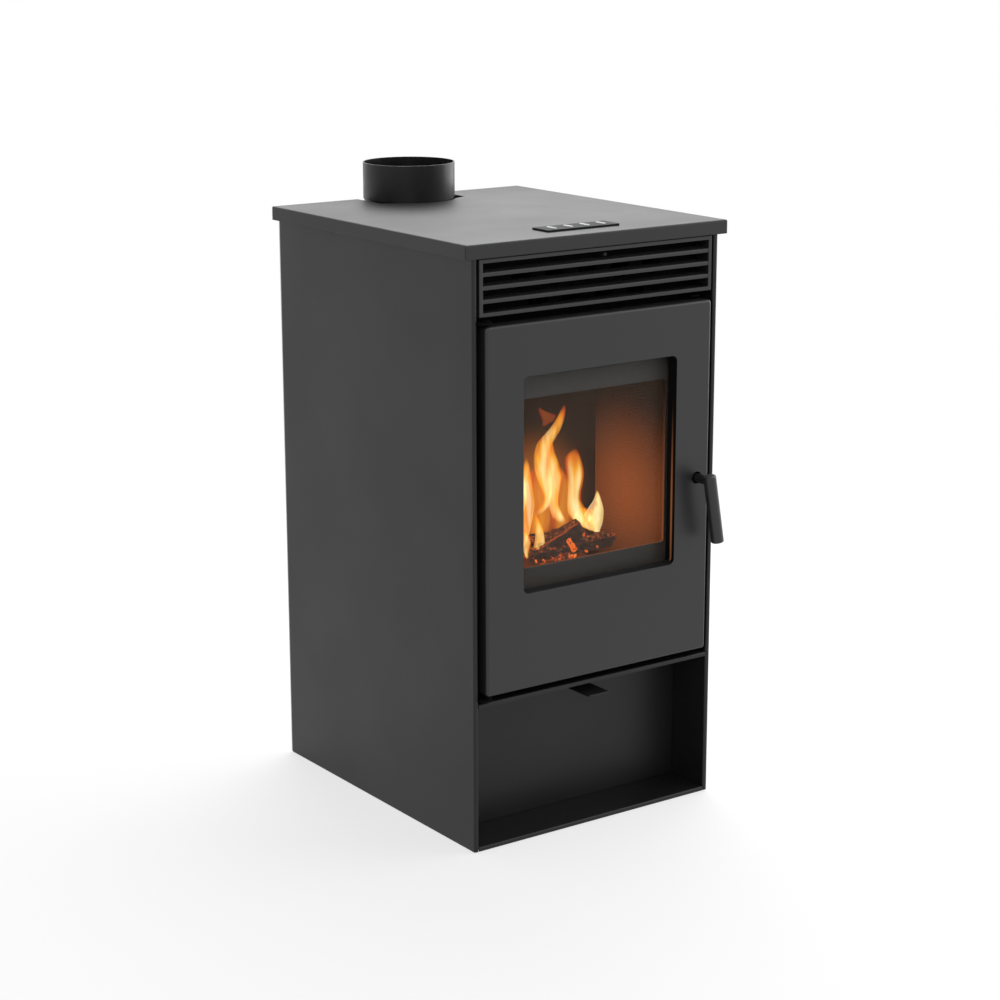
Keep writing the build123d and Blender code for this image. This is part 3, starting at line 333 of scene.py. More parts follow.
def scaled_steel():
    """Welded mild steel that has been through the fire: blue-grey mill scale with brown and sooty clouds,
    kept very dark overall, which is also painted shade for where it lies behind the grille.
    """
    material, tree, place = start("fire_scaled_steel_and_shade")
    cloud = add(tree, "ShaderNodeTexNoise", {"Vector": place, "Scale": per_feature(70), "Detail": 6.0})
    pits = add(tree, "ShaderNodeTexNoise", {"Vector": place, "Scale": per_feature(2.5), "Detail": 4.0})
    # Very dark stops, partly painted shade for the parts seen in shade behind the grille
    shade = add(
        tree,
        "ShaderNodeValToRGB",
        {0: cloud.outputs["Fac"]},
        stops=((0.32, linear("#121112")), (0.5, linear("#1c1a19")), (0.68, linear("#2a221e"))),
    )
    bump = add(tree, "ShaderNodeBump", {"Strength": 0.3, "Distance": mm(0.15), "Height": pits.outputs["Fac"]})
    shader = add(
        tree,
        "ShaderNodeBsdfPrincipled",
        {"Base Color": shade.outputs[0], "Metallic": 0.2, "Roughness": 0.7, "Normal": bump.outputs["Normal"]},
    )
    add(tree, "ShaderNodeOutputMaterial", {"Surface": shader.outputs[0]})
    return material


def firelight(tree, place, colour, centre, reach, squash=(1.0, 1.0, 1.0)):
    """Light of the fire on a surface: a colour that fades from a centre over two distances. The squash
    draws the lit patch out along an axis."""
    offset = add(tree, "ShaderNodeVectorMath", {0: place, 1: centre}, operation="SUBTRACT")
    drawn = add(tree, "ShaderNodeVectorMath", {0: offset.outputs[0], 1: squash}, operation="MULTIPLY")
    away = add(tree, "ShaderNodeVectorMath", {0: drawn.outputs[0]}, operation="LENGTH")
    near = add(
        tree,
        "ShaderNodeMapRange",
        {"Value": away.outputs["Value"], 1: reach[0], 2: reach[1], 3: 1.0, 4: 0.0},
        interpolation_type="SMOOTHSTEP",
    )
    return add(
        tree, "ShaderNodeMix", {0: near.outputs[0], 6: black, 7: colour}, data_type="RGBA"
    ).outputs[2]


def sand_cast_iron(name, colour, glow, centre, reach):
    """Cast iron with a sand-cast skin, rusted brown by the heat and lit orange round the fire."""
    material, tree, place = start(name)
    skin = add(tree, "ShaderNodeTexNoise", {"Vector": place, "Scale": per_feature(2.2), "Detail": 6.0})
    cloud = add(tree, "ShaderNodeTexNoise", {"Vector": place, "Scale": per_feature(60), "Detail": 5.0})
    shade = add(
        tree, "ShaderNodeMix", {0: cloud.outputs["Fac"], 6: colour, 7: linear("#38251a")}, data_type="RGBA"
    )
    bump = add(
        tree, "ShaderNodeBump", {"Strength": 0.04, "Distance": mm(0.05), "Height": skin.outputs["Fac"]}
    )
    shader = add(
        tree,
        "ShaderNodeBsdfPrincipled",
        {
            "Base Color": shade.outputs[2],
            "Roughness": 0.8,
            "Specular IOR Level": 0.25,
            "Emission Color": firelight(tree, place, glow, centre, reach),
            "Emission Strength": 1.0,
            "Normal": bump.outputs["Normal"],
        },
    )
    add(tree, "ShaderNodeOutputMaterial", {"Surface": shader.outputs[0]})
    return material


def shaded_paint(name, colour, glow, centre, reach, squash):
    """The same silicone paint deep in the door's window, in painted shade and painted firelight: a dark
    colour, darker still in random patches and with little shine, for the shade it lies in, and lit by the
    fire alone.
    """
    material, tree, place = start(name)
    # Painted shade: the colour goes darker still in random patches
    soot_and_painted_light = add(tree, "ShaderNodeTexNoise", {"Vector": place, "Scale": per_feature(6), "Detail": 4.0})
    shade = add(
        tree, "ShaderNodeMix", {0: soot_and_painted_light.outputs["Fac"], 6: colour, 7: scaled(colour, 0.5)}, data_type="RGBA"
    )
    shader = add(
        tree,
        "ShaderNodeBsdfPrincipled",
        {
            "Base Color": shade.outputs[2],
            "Roughness": 0.75,
            "Specular IOR Level": 0.1,
            "Emission Color": firelight(tree, place, glow, centre, reach, squash),
            "Emission Strength": 1.0,
        },
    )
    add(tree, "ShaderNodeOutputMaterial", {"Surface": shader.outputs[0]})
    return material


def cast_aluminium(name, colour, roughness):
    """Die-cast aluminium, as cast: pale grey with a fine pebbled skin and a dull shine."""
    material, tree, place = start(name)
    pebble = add(tree, "ShaderNodeTexNoise", {"Vector": place, "Scale": per_feature(1.4), "Detail": 3.0})
    shade = add(
        tree, "ShaderNodeMix", {0: pebble.outputs["Fac"], 6: colour, 7: scaled(colour, 0.8)}, data_type="RGBA"
    )
    bump = add(
        tree, "ShaderNodeBump", {"Strength": 0.2, "Distance": mm(0.1), "Height": pebble.outputs["Fac"]}
    )
    shader = add(
        tree,
        "ShaderNodeBsdfPrincipled",
        {
            "Base Color": shade.outputs[2],
            "Metallic": 1.0,
            "Roughness": roughness,
            "Normal": bump.outputs["Normal"],
        },
    )
    add(tree, "ShaderNodeOutputMaterial", {"Surface": shader.outputs[0]})
    return material


def moulded_plastic(name, colour, roughness, grain, relief, mirror=0.5):
    """Injection-moulded plastic. A fine spark-eroded grain from the mould, or a polished face."""
    material, tree, place = start(name)
    spark = add(tree, "ShaderNodeTexNoise", {"Vector": place, "Scale": per_feature(grain), "Detail": 2.0})
    haze = add(
        tree,
        "ShaderNodeMapRange",
        {"Value": spark.outputs["Fac"], 1: 0.3, 2: 0.7, 3: roughness - 0.03, 4: roughness + 0.03},
    )
    bump = add(
        tree, "ShaderNodeBump", {"Strength": relief, "Distance": mm(0.08), "Height": spark.outputs["Fac"]}
    )
    shader = add(
        tree,
        "ShaderNodeBsdfPrincipled",
        {
            "Base Color": colour,
            "Roughness": haze.outputs[0],
            "IOR": 1.53,
            "Specular IOR Level": mirror,
            "Normal": bump.outputs["Normal"],
        },
    )
    add(tree, "ShaderNodeOutputMaterial", {"Surface": shader.outputs[0]})
    return material


def ceramic_glass():
    """Clear glass ceramic, drawn flat and polished: almost unseen, with a faint mirror and a thin film in
    clouds, sooty brown yet pale enough that the lamps light it, a painted reflection that veils what lies
    behind. It is a thin clear sheet, so the room's light falls through it."""
    material, tree, place = start("clear_glass_ceramic")
    soot_and_painted_light = add(tree, "ShaderNodeTexNoise", {"Vector": place, "Scale": per_feature(55), "Detail": 5.0})
    # The film: sooty brown in clouds, and lit, as a painted reflection over the firebox
    film = add(tree, "ShaderNodeMapRange", {"Value": soot_and_painted_light.outputs["Fac"], 1: 0.3, 2: 0.8, 3: 0.07, 4: 0.1})
    shader = add(
        tree,
        "ShaderNodeBsdfPrincipled",
        {
            "Base Color": linear("#a0846f"),
            "Roughness": 0.02,
            "IOR": 1.5,
            "Alpha": film.outputs[0],
        },
    )
    add(tree, "ShaderNodeOutputMaterial", {"Surface": shader.outputs[0]})
    return material


def glass_fibre(name, sooty, clean):
    """Plaited or woven glass-fibre yarn: matt, with a 1.6 mm weave and sooty grey clouds about 35 mm across.
    """
    material, tree, place = start(name)
    waves_per_unit = 20
    yarn = add(
        tree,
        "ShaderNodeTexWave",
        {
            "Vector": place,
            "Scale": per_feature(1.6) / waves_per_unit,
            "Distortion": 1.5,
            "Detail": 2.0,
            "Detail Scale": 3.0,
        },
        bands_direction="DIAGONAL",
    )
    soot_and_painted_light = add(tree, "ShaderNodeTexNoise", {"Vector": place, "Scale": per_feature(35), "Detail": 4.0})
    shade = add(
        tree,
        "ShaderNodeValToRGB",
        {0: soot_and_painted_light.outputs["Fac"]},
        stops=((0.35, sooty), (0.7, clean)),
    )
    bump = add(tree, "ShaderNodeBump", {"Strength": 0.6, "Distance": mm(0.25), "Height": yarn.outputs["Fac"]})
    shader = add(
        tree,
        "ShaderNodeBsdfPrincipled",
        {"Base Color": shade.outputs[0], "Roughness": 0.92, "Normal": bump.outputs["Normal"]},
    )
    add(tree, "ShaderNodeOutputMaterial", {"Surface": shader.outputs[0]})
    return material


def circuit_board():
    """Glass-epoxy circuit board: green solder mask over 2 mm copper tracks that show as lighter lines."""
    material, tree, place = start("green_glass_epoxy_board")
    turned = add(tree, "ShaderNodeMapping", {"Vector": place, "Rotation": (0.0, math.radians(90), 0.0)})
    tracks = add(
        tree,
        "ShaderNodeTexBrick",
        {
            "Vector": turned.outputs[0],
            "Color1": linear("#0d4a26"),
            "Color2": linear("#0a3a1e"),
            "Mortar": linear("#2c8050"),
            "Scale": per_feature(10) / 4,
            "Mortar Size": 0.03,
        },
    )
    bump = add(
        tree, "ShaderNodeBump", {"Strength": 0.2, "Distance": mm(0.05), "Height": tracks.outputs["Fac"]}
    )
    shader = add(
        tree,
        "ShaderNodeBsdfPrincipled",
        {"Base Color": tracks.outputs["Color"], "Roughness": 0.38, "Normal": bump.outputs["Normal"]},
    )
    add(tree, "ShaderNodeOutputMaterial", {"Surface": shader.outputs[0]})
    return material


def charred_wood(colour, glow):
    """Split firewood burnt to charcoal: dull dark brown with bark ridges about 4 mm apart, brown and
    orange specks of light on what faces the flames, and a glowing line along a ridge, which the vertex
    mark "crest" gives."""
    material, tree, place = start("charred_firewood")
    turn, draw_out = (0.0, 0.0, math.radians(-18)), (0.4, 1.0, 1.0)
    drawn = add(tree, "ShaderNodeMapping", {"Vector": place, "Rotation": turn, "Scale": draw_out})
    bark = add(
        tree,
        "ShaderNodeTexNoise",
        {"Vector": drawn.outputs[0], "Scale": per_feature(4), "Detail": 6.0, "Distortion": 0.4},
    )
    speck = add(tree, "ShaderNodeTexNoise", {"Vector": place, "Scale": per_feature(3.2), "Detail": 4.0})
    cloud = add(tree, "ShaderNodeTexNoise", {"Vector": place, "Scale": per_feature(24), "Detail": 3.0})
    shade = add(
        tree, "ShaderNodeValToRGB", {0: bark.outputs["Fac"]}, stops=((0.4, colour), (0.65, linear("#3a2a22")))
    )
    # What the fire throws on it: orange specks on top, dull brown on the sides
    upward = add(tree, "ShaderNodeSeparateXYZ", {0: add(tree, "ShaderNodeNewGeometry").outputs["Normal"]})
    top = add(tree, "ShaderNodeMapRange", {"Value": upward.outputs["Z"], 1: 0.15, 2: 0.7})
    specks = add(
        tree,
        "ShaderNodeValToRGB",
        {0: speck.outputs["Fac"]},
        stops=((0.42, linear("#1c0e0a")), (0.54, linear("#4a2418")), (0.62, linear("#c8642e"))),
    )
    dull = add(
        tree,
        "ShaderNodeValToRGB",
        {0: bark.outputs["Fac"]},
        stops=((0.36, linear("#100c0b")), (0.6, linear("#2e2320")), (0.72, linear("#5a3a2c"))),
    )
    lit = add(
        tree, "ShaderNodeMix", {0: top.outputs[0], 6: dull.outputs[0], 7: specks.outputs[0]}, data_type="RGBA"
    )
    # The glow: along the ridge, and down in a few cracks
    blocks = add(
        tree,
        "ShaderNodeTexVoronoi",
        {"Vector": drawn.outputs[0], "Scale": per_feature(11)},
        feature="DISTANCE_TO_EDGE",
    )
    crack = add(
        tree, "ShaderNodeMapRange", {"Value": blocks.outputs["Distance"], 1: 0.01, 2: 0.07, 3: 1.0, 4: 0.0}
    )
    hot = add(tree, "ShaderNodeMapRange", {"Value": cloud.outputs["Fac"], 1: 0.6, 2: 0.7, 3: 0.0, 4: 1.0})
    red = add(tree, "ShaderNodeMath", {0: crack.outputs[0], 1: hot.outputs[0]}, operation="MULTIPLY")
    crest = add(tree, "ShaderNodeAttribute", attribute_name="crest").outputs["Fac"]
    patchy = add(tree, "ShaderNodeMapRange", {"Value": speck.outputs["Fac"], 1: 0.35, 2: 0.5, 3: 0.1, 4: 0.8})
    ridge = add(tree, "ShaderNodeMath", {0: crest, 1: patchy.outputs[0]}, operation="MULTIPLY")
    red = add(tree, "ShaderNodeMath", {0: red.outputs[0], 1: ridge.outputs[0]}, operation="MAXIMUM")
    tint = add(tree, "ShaderNodeMix", {0: red.outputs[0], 6: lit.outputs[2], 7: glow}, data_type="RGBA")
    bump = add(tree, "ShaderNodeBump", {"Strength": 0.7, "Distance": mm(1.0), "Height": bark.outputs["Fac"]})
    shader = add(
        tree,
        "ShaderNodeBsdfPrincipled",
        {
            "Base Color": shade.outputs[0],
            "Roughness": 0.9,
            "Specular IOR Level": 0.2,
            "Emission Color": tint.outputs[2],
            "Emission Strength": 0.9,
            "Normal": bump.outputs["Normal"],
        },
    )
    add(tree, "ShaderNodeOutputMaterial", {"Surface": shader.outputs[0]})
    return material


def glowing_charcoal(glow):
    """A piece of charcoal burning through: bright orange, and red where it cools."""
    material, tree, place = start("glowing_charcoal")
    heat = add(tree, "ShaderNodeTexNoise", {"Vector": place, "Scale": per_feature(4), "Detail": 4.0})
    warm = add(
        tree,
        "ShaderNodeValToRGB",
        {0: heat.outputs["Fac"]},
        stops=((0.34, linear("#5a1c08")), (0.44, glow), (0.7, linear("#f58a38"))),
    )
    shader = add(
        tree,
        "ShaderNodeBsdfPrincipled",
        {
            "Base Color": linear("#3a1a10"),
            "Roughness": 0.9,
            "Emission Color": warm.outputs[0],
            "Emission Strength": 1.0,
        },
    )
    add(tree, "ShaderNodeOutputMaterial", {"Surface": shader.outputs[0]})
    return material


def burning_pellets(glow):
    """Pressed wood pellets alight: orange-red from inside, under patches of grey ash and black char."""
    material, tree, place = start("burning_wood_pellets")
    heat = add(tree, "ShaderNodeTexNoise", {"Vector": place, "Scale": per_feature(13), "Detail": 3.0})
    ash = add(tree, "ShaderNodeTexNoise", {"Vector": place, "Scale": per_feature(3), "Detail": 5.0})
    shade = add(
        tree,
        "ShaderNodeValToRGB",
        {0: ash.outputs["Fac"]},
        stops=((0.4, linear("#17110e")), (0.62, linear("#6d6660"))),
    )
    warm = add(
        tree,
        "ShaderNodeValToRGB",
        {0: heat.outputs["Fac"]},
        stops=(
            (0.42, black),
            (0.56, scaled(glow, 0.45)),
            (0.72, linear("#ff8a2c")),
        ),
    )
    bump = add(tree, "ShaderNodeBump", {"Strength": 0.5, "Distance": mm(0.4), "Height": ash.outputs["Fac"]})
    shader = add(
        tree,
        "ShaderNodeBsdfPrincipled",
        {
            "Base Color": shade.outputs[0],
            "Roughness": 0.9,
            "Emission Color": warm.outputs[0],
            "Emission Strength": 1.3,
            "Normal": bump.outputs["Normal"],
        },
    )
    add(tree, "ShaderNodeOutputMaterial", {"Surface": shader.outputs[0]})
    return material


def burning_gas(rim, body, core):
    """Burning gas, thin enough to see through, so licks that cross grow brighter: cream where it is
    hottest, yellow round that and deep orange as it thins out, in rising streaks about 12 mm apart. Each
    vertex has three marks from 0 to 1: "heart", from the edge in to the middle, "warmth", which falls
    towards the tip, and "cover", how much gas there is."""
    material, tree, place = start("burning_wood_gas")
    drawn = add(tree, "ShaderNodeMapping", {"Vector": place, "Scale": (1.0, 1.0, 0.14)})
    streaks = add(
        tree,
        "ShaderNodeTexNoise",
        {"Vector": drawn.outputs[0], "Scale": per_feature(12), "Detail": 1.0, "Distortion": 0.3},
    )
    heart, warmth, cover = (
        add(tree, "ShaderNodeAttribute", attribute_name=mark).outputs["Fac"]
        for mark in ("heart", "warmth", "cover")
    )
    stir = add(
        tree, "ShaderNodeMapRange", {"Value": streaks.outputs["Fac"], 1: 0.32, 2: 0.6, 3: -0.4, 4: 0.2}
    )
    heat = add(tree, "ShaderNodeMath", {0: heart, 1: stir.outputs[0]}, operation="ADD")
    heat = add(tree, "ShaderNodeMath", {0: heat.outputs[0], 1: warmth}, operation="MULTIPLY")
    amber = tuple((low + high) / 2 for low, high in zip(rim, body))
    cream = tuple((low + high) / 2 for low, high in zip(body, core))
    colour = add(
        tree,
        "ShaderNodeValToRGB",
        {0: heat.outputs[0]},
        stops=((0.15, rim), (0.38, amber), (0.6, body), (0.82, cream), (1.0, core)),
    )
    shader = add(
        tree,
        "ShaderNodeBsdfPrincipled",
        {
            "Base Color": black,
            "Roughness": 1.0,
            "Specular IOR Level": 0.0,
            "Emission Color": colour.outputs[0],
            "Emission Strength": 2.3,
            "Alpha": cover,
        },
    )
    add(tree, "ShaderNodeOutputMaterial", {"Surface": shader.outputs[0]})
    return material


def fine_ash():
    """Wood ash, sifted by the draught: pale grey and powdery with darker clinker."""
    material, tree, place = start("wood_ash")
    grit = add(tree, "ShaderNodeTexNoise", {"Vector": place, "Scale": per_feature(4), "Detail": 6.0})
    shade = add(
        tree,
        "ShaderNodeValToRGB",
        {0: grit.outputs["Fac"]},
        stops=((0.35, linear("#5e5852")), (0.6, linear("#9b948b"))),
    )
    bump = add(tree, "ShaderNodeBump", {"Strength": 0.6, "Distance": mm(0.8), "Height": grit.outputs["Fac"]})
    shader = add(
        tree,
        "ShaderNodeBsdfPrincipled",
        {"Base Color": shade.outputs[0], "Roughness": 1.0, "Normal": bump.outputs["Normal"]},
    )
    add(tree, "ShaderNodeOutputMaterial", {"Surface": shader.outputs[0]})
    return material


# ---------------------------------------------------------------- mesh parts


def dress(material, *names):
    """Gives CAD nodes their finish."""
    for name in names:
        node = frame["nodes"][name]
        node.data.materials.clear()
        node.data.materials.append(material)


def piece(name, mesh, material, body, smooth=True):
    """Puts a new mesh in the scene on its body."""
    mesh.materials.append(material)
    if smooth:
        mesh.shade_smooth()
    made = bpy.data.objects.new(name, mesh)
    bpy.context.scene.collection.objects.link(made)
    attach(made, body)
    return made


def mesh_of(form, name):
    """The form as a mesh, with its faces turned outwards."""
    bmesh.ops.recalc_face_normals(form, faces=form.faces)
    mesh = bpy.data.meshes.new(name)
    form.to_mesh(mesh)
    form.free()
    return mesh


def vertices(form, rows):
    """New vertices at rows of points."""
    return [[form.verts.new(point) for point in row] for row in rows]


def join_rows(form, rows):
    """Faces between each row of vertices and the next."""
    for near, far in zip(rows, rows[1:]):
        for corners in zip(near, near[1:], far[1:], far):
            form.faces.new(corners)


def bmesh_ring(extruded):
    """The new vertices of an extruded border, in order round it."""
    edges = [part for part in extruded["geom"] if isinstance(part, bmesh.types.BMEdge)]
    first = edges[0].verts[0]
    ring, current, used = [first], first, set()
    own = set(edges)
    while True:
        link = next((e for e in current.link_edges if e in own and e not in used), None)
        if link is None:
            break
        used.add(link)
        current = link.other_vert(current)
        if current is first:
            break
        ring.append(current)
    return ring


def close_below(form, middle, height, taper=0.0):
    """Draws the border of an open form down to a height, in towards the middle by a share, and fills it."""
    border = bmesh.ops.extrude_edge_only(form, edges=[edge for edge in form.edges if edge.is_boundary])
    for vertex in (part for part in border["geom"] if isinstance(part, bmesh.types.BMVert)):
        vertex.co += Vector((middle.x - vertex.co.x, middle.y - vertex.co.y, 0)) * taper
        vertex.co.z = height
    form.faces.new(bmesh_ring(border))


def tube_mesh(name, rings, closed=False):
    """Skin over rings of points that have the same count. A closed one joins its last ring to its
    first, and an open one is capped at both ends."""
    form = bmesh.new()
    rows = vertices(form, rings)
    skin = [row + row[:1] for row in rows]
    join_rows(form, skin + skin[:1] if closed else skin)
    if not closed:
        form.faces.new(list(reversed(rows[0])))
        form.faces.new(rows[-1])
    return mesh_of(form, name)


def smooth(low, high, value):
    """Rises from 0 at the low value to 1 at the high one, level at both ends."""
    share = min(1.0, max(0.0, (value - low) / (high - low)))
    return share * share * (3 - 2 * share)


def curve_through(points, steps):
    """Points on a smooth Catmull-Rom line through rows of numbers, with so many steps for each stretch."""
    rows = [points[0], *points, points[-1]]
    line = []
    for a, b, c, d in zip(rows, rows[1:], rows[2:], rows[3:]):
        for step in range(steps):
            t = step / steps
            point = []
            for p, q, r, s in zip(a, b, c, d):
                square, cube = 2 * p - 5 * q + 4 * r - s, 3 * q - p - 3 * r + s
                point.append(0.5 * (2 * q + (r - p) * t + square * t**2 + cube * t**3))
            line.append(tuple(point))
    line.append(tuple(points[-1]))
    return line


def loose_boxes(name):
    """Lowest and highest corner of each separate solid in a CAD node."""
    form = bmesh.new()
    form.from_mesh(frame["nodes"][name].data)
    bmesh.ops.remove_doubles(form, verts=form.verts, dist=mm(0.005))
    left = set(form.verts)
    boxes = []
    while left:
        group, edge = set(), [left.pop()]
        while edge:
            vertex = edge.pop()
            group.add(vertex)
            for link in vertex.link_edges:
                other = link.other_vert(vertex)
                if other in left:
                    left.discard(other)
                    edge.append(other)
        places = [vertex.co for vertex in group]
        boxes.append(
            (
                Vector([min(place[axis] for place in places) for axis in range(3)]),
                Vector([max(place[axis] for place in places) for axis in range(3)]),
            )
        )
    form.free()
    return boxes


def cross_recesses(name, screws, body, rear):
    """The cross cut in each screw's head, as a dark inlay on the head's face: painted shade that stands for
    the recess.
    """
    arm, width, lift = mm(2.1), mm(0.45), mm(0.08)
    form = bmesh.new()
    for low, high in loose_boxes(screws):
        middle = (low + high) / 2
        face = high.y if rear else low.y
        for half_x, half_z in ((arm, width), (width, arm)):
            size = Matrix.Diagonal((2 * half_x, 2 * lift, 2 * half_z, 1))
            place = Matrix.Translation((middle.x, face, middle.z))
            bmesh.ops.create_cube(form, size=1, matrix=place @ size)
    # Painted shade: the black nylon finish stands for the shade in the cross recess
    recess_shade_finish = bpy.data.materials["black_nylon_and_recess_shade"]
    return piece(name, mesh_of(form, name), recess_shade_finish, body, smooth=False)


def rounded_frame(half_x, half_z, radius, step):
    """Closed path round a rectangle with rounded corners, as (x, z, distance along it)."""
    corners = ((1, 1, 0), (-1, 1, 90), (-1, -1, 180), (1, -1, 270))
    path = []
    for side_x, side_z, first in corners:
        turns = max(2, round(radius * math.pi / 2 / step))
        for turn in range(turns + 1):
            angle = math.radians(first + 90 * turn / turns)
            centre = (side_x * (half_x - radius), side_z * (half_z - radius))
            path.append((centre[0] + radius * math.cos(angle), centre[1] + radius * math.sin(angle)))
    filled = []
    for number, (x, z) in enumerate(path):
        after = path[(number + 1) % len(path)]
        gap = math.hypot(after[0] - x, after[1] - z)
        parts = max(1, round(gap / step))
        for part in range(parts):
            filled.append((x + (after[0] - x) * part / parts, z + (after[1] - z) * part / parts))
    places, along = [], 0.0
    for number, (x, z) in enumerate(filled):
        places.append((x, z, along))
        after = filled[(number + 1) % len(filled)]
        along += math.hypot(after[0] - x, after[1] - z)
    return places


# ---------------------------------------------------------------- operators


class STOVE_OT_materials(bpy.types.Operator):
    """Mix the finishes that several pieces share"""

    bl_idname = "stove.materials"
    bl_label = "Shared finishes"

    def execute(self, context):
        colours = context.scene.stove_colours
        edge = context.scene.stove_sizes.edge
        heat_paint("casing_silicone_paint", tuple(colours.casing), 0.42, edge, 0.34)
        heat_paint("door_silicone_paint", tuple(colours.door), 0.4, edge)
        heat_paint("lid_silicone_paint", tuple(colours.lid), 0.5, edge * 2, 0.29)
        # Black paint that is also painted shade: near-black with little mirror, for what lies in shade
        heat_paint("inner_black_paint_and_shade", tuple(colours.inner), 0.8, edge, 0.06)
        # Painted light: a lighter copy of the door's paint for the frame in shade behind the glass
        heat_paint("frame_paint_and_painted_light", tuple(colours.frame), 0.5, edge, 0.3, peel=0.8)
        heat_paint("grip_silicone_paint", tuple(colours.grip), 0.36, edge)
        heat_paint("stem_gloss_black_paint", linear("#1a1a1b"), 0.3, edge)
        galvanised_steel()
        turned_steel()
        scaled_steel()
        glass_fibre("plaited_glass_fibre", linear("#8e8a82"), linear("#cdc9bf"))
        glass_fibre("graphited_glass_fibre", linear("#0e0e0e"), linear("#262524"))
        cast_aluminium("die_cast_aluminium", linear("#9a9c9e"), 0.5)
        moulded_plastic("black_nylon_and_recess_shade", linear("#0c0c0d"), 0.5, 0.9, 0.3)
        return {"FINISHED"}


class STOVE_OT_casing(bpy.types.Operator):
    """Finish the casing, niche, grille and rear"""

    bl_idname = "stove.casing"
    bl_label = "Casing"

    def execute(self, context):
        materials = bpy.data.materials
        dress(
            materials["casing_silicone_paint"],
            "base_tray",
            "left_side_panel",
            "right_side_panel",
            "niche_liner",
        )
        dress(materials["door_silicone_paint"], "air_grille", "top_front_rail")
        # Painted shade: the frame behind the grille is near-black for the shade it lies in
        dress(materials["inner_black_paint_and_shade"], "front_frame")
        dress(materials["galvanised_sheet_steel"], "rear_panel")
        dress(materials["turned_bright_steel"], "casing_screws")
        dress(materials["black_nylon_and_recess_shade"], "glides")
        cross_recesses("casing_screw_recesses", "casing_screws", "casing", rear=True)
        return {"FINISHED"}


class STOVE_OT_lid(bpy.types.Operator):
    """Finish the lift-up top with its button panel"""

    bl_idname = "stove.lid"
    bl_label = "Top plate and buttons"

    def execute(self, context):
        colours = context.scene.stove_colours
        materials = bpy.data.materials
        dress(materials["lid_silicone_paint"], "top_plate")
        dress(materials["turned_bright_steel"], "lid_hinge_pins")
        dress(moulded_plastic("satin_grey_abs", tuple(colours.panel), 0.5, 0.7, 0.1, 0.04), "control_panel")
        # Pale moulded caps, partly a painted highlight for their shine
        caps = moulded_plastic("pale_abs_painted_highlight", tuple(colours.button), 0.15, 20, 0.02)
        dress(caps, "button_1", "button_2", "button_3", "button_4")
        dress(circuit_board(), "button_board", "control_board")
        return {"FINISHED"}


class STOVE_OT_door(bpy.types.Operator):
    """Finish the door and its hinges"""

    bl_idname = "stove.door"
    bl_label = "Door"

    def execute(self, context):
        materials = bpy.data.materials
        dress(materials["door_silicone_paint"], "door_skin")
        # Painted light: the frame behind the glass gets the lighter copy of the paint
        dress(materials["frame_paint_and_painted_light"], "door_frame")
        # Painted shade: the hinges are near-black, without the steel's shine, for the shade they lie in
        dress(materials["inner_black_paint_and_shade"], "hinge_brackets", "hinge_pins")
        dress(materials["turned_bright_steel"], "door_screws")
        dress(ceramic_glass(), "door_glass")

        # The window's inner edges don't see the room's light, only the fire's, so they are given painted
        # shade and painted firelight
        glass_low, glass_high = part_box("door_glass")
        pot_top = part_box("burn_pot")[1].z
        side = glass_high.x - mm(12)
        low, high = glass_low.z + mm(8), glass_high.z - mm(8)
        # Painted shade: the reveal's near-black colour stands for the shade in it, with a thin line of
        # painted firelight near its front
        reveal = shaded_paint(
            "reveal_painted_shade_and_firelight",
            linear("#0a0a0a"),
            linear("#7a4a2c"),
            (side, glass_low.y - mm(14), pot_top + mm(80)),
            (mm(0.5), mm(3.5)),
            (1.0, 1.0, 0.02),
        )
        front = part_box("door_skin")[0].y + mm(3)
        self.line_window("door_skin", reveal, side, low, high, front, sides_only=True)
        # Painted shade and painted firelight on the faces round the window's mouth: dark brown with an orange
        # glow, to look like the lit firebox wall
        mouth = shaded_paint(
            "mouth_painted_shade_and_firelight",
            linear("#1c120c"),
            linear("#7c4228"),
            (mm(60), glass_high.y, pot_top + mm(40)),
            (mm(30), mm(150)),
            (0.5, 1.0, 0.6),
        )
        self.line_window("door_frame", mouth, side, low, high, glass_high.y - mm(1))
        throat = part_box("side_liners")[1].x + mm(4)
        self.line_window("front_frame", mouth, throat, low, high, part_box("front_frame")[0].y)
        cross_recesses("door_screw_recesses", "door_screws", "door", rear=True)
        return {"FINISHED"}

    def line_window(self, name, material, side, low, high, front, sides_only=False):
        """Gives the faces that look into the window a finish of their own."""
        mesh = frame["nodes"][name].data
        mesh.materials.append(material)
        middle = (low + high) / 2
        for face in mesh.polygons:
            if abs(face.normal.y) > 0.5 or face.center.y < front or (sides_only and abs(face.normal.z) > 0.7):
                continue
            inward = face.normal.x * face.center.x < 0 or face.normal.z * (face.center.z - middle) < 0
            if inward and abs(face.center.x) < side + mm(1) and low - mm(6) < face.center.z < high + mm(6):
                face.material_index = len(mesh.materials) - 1


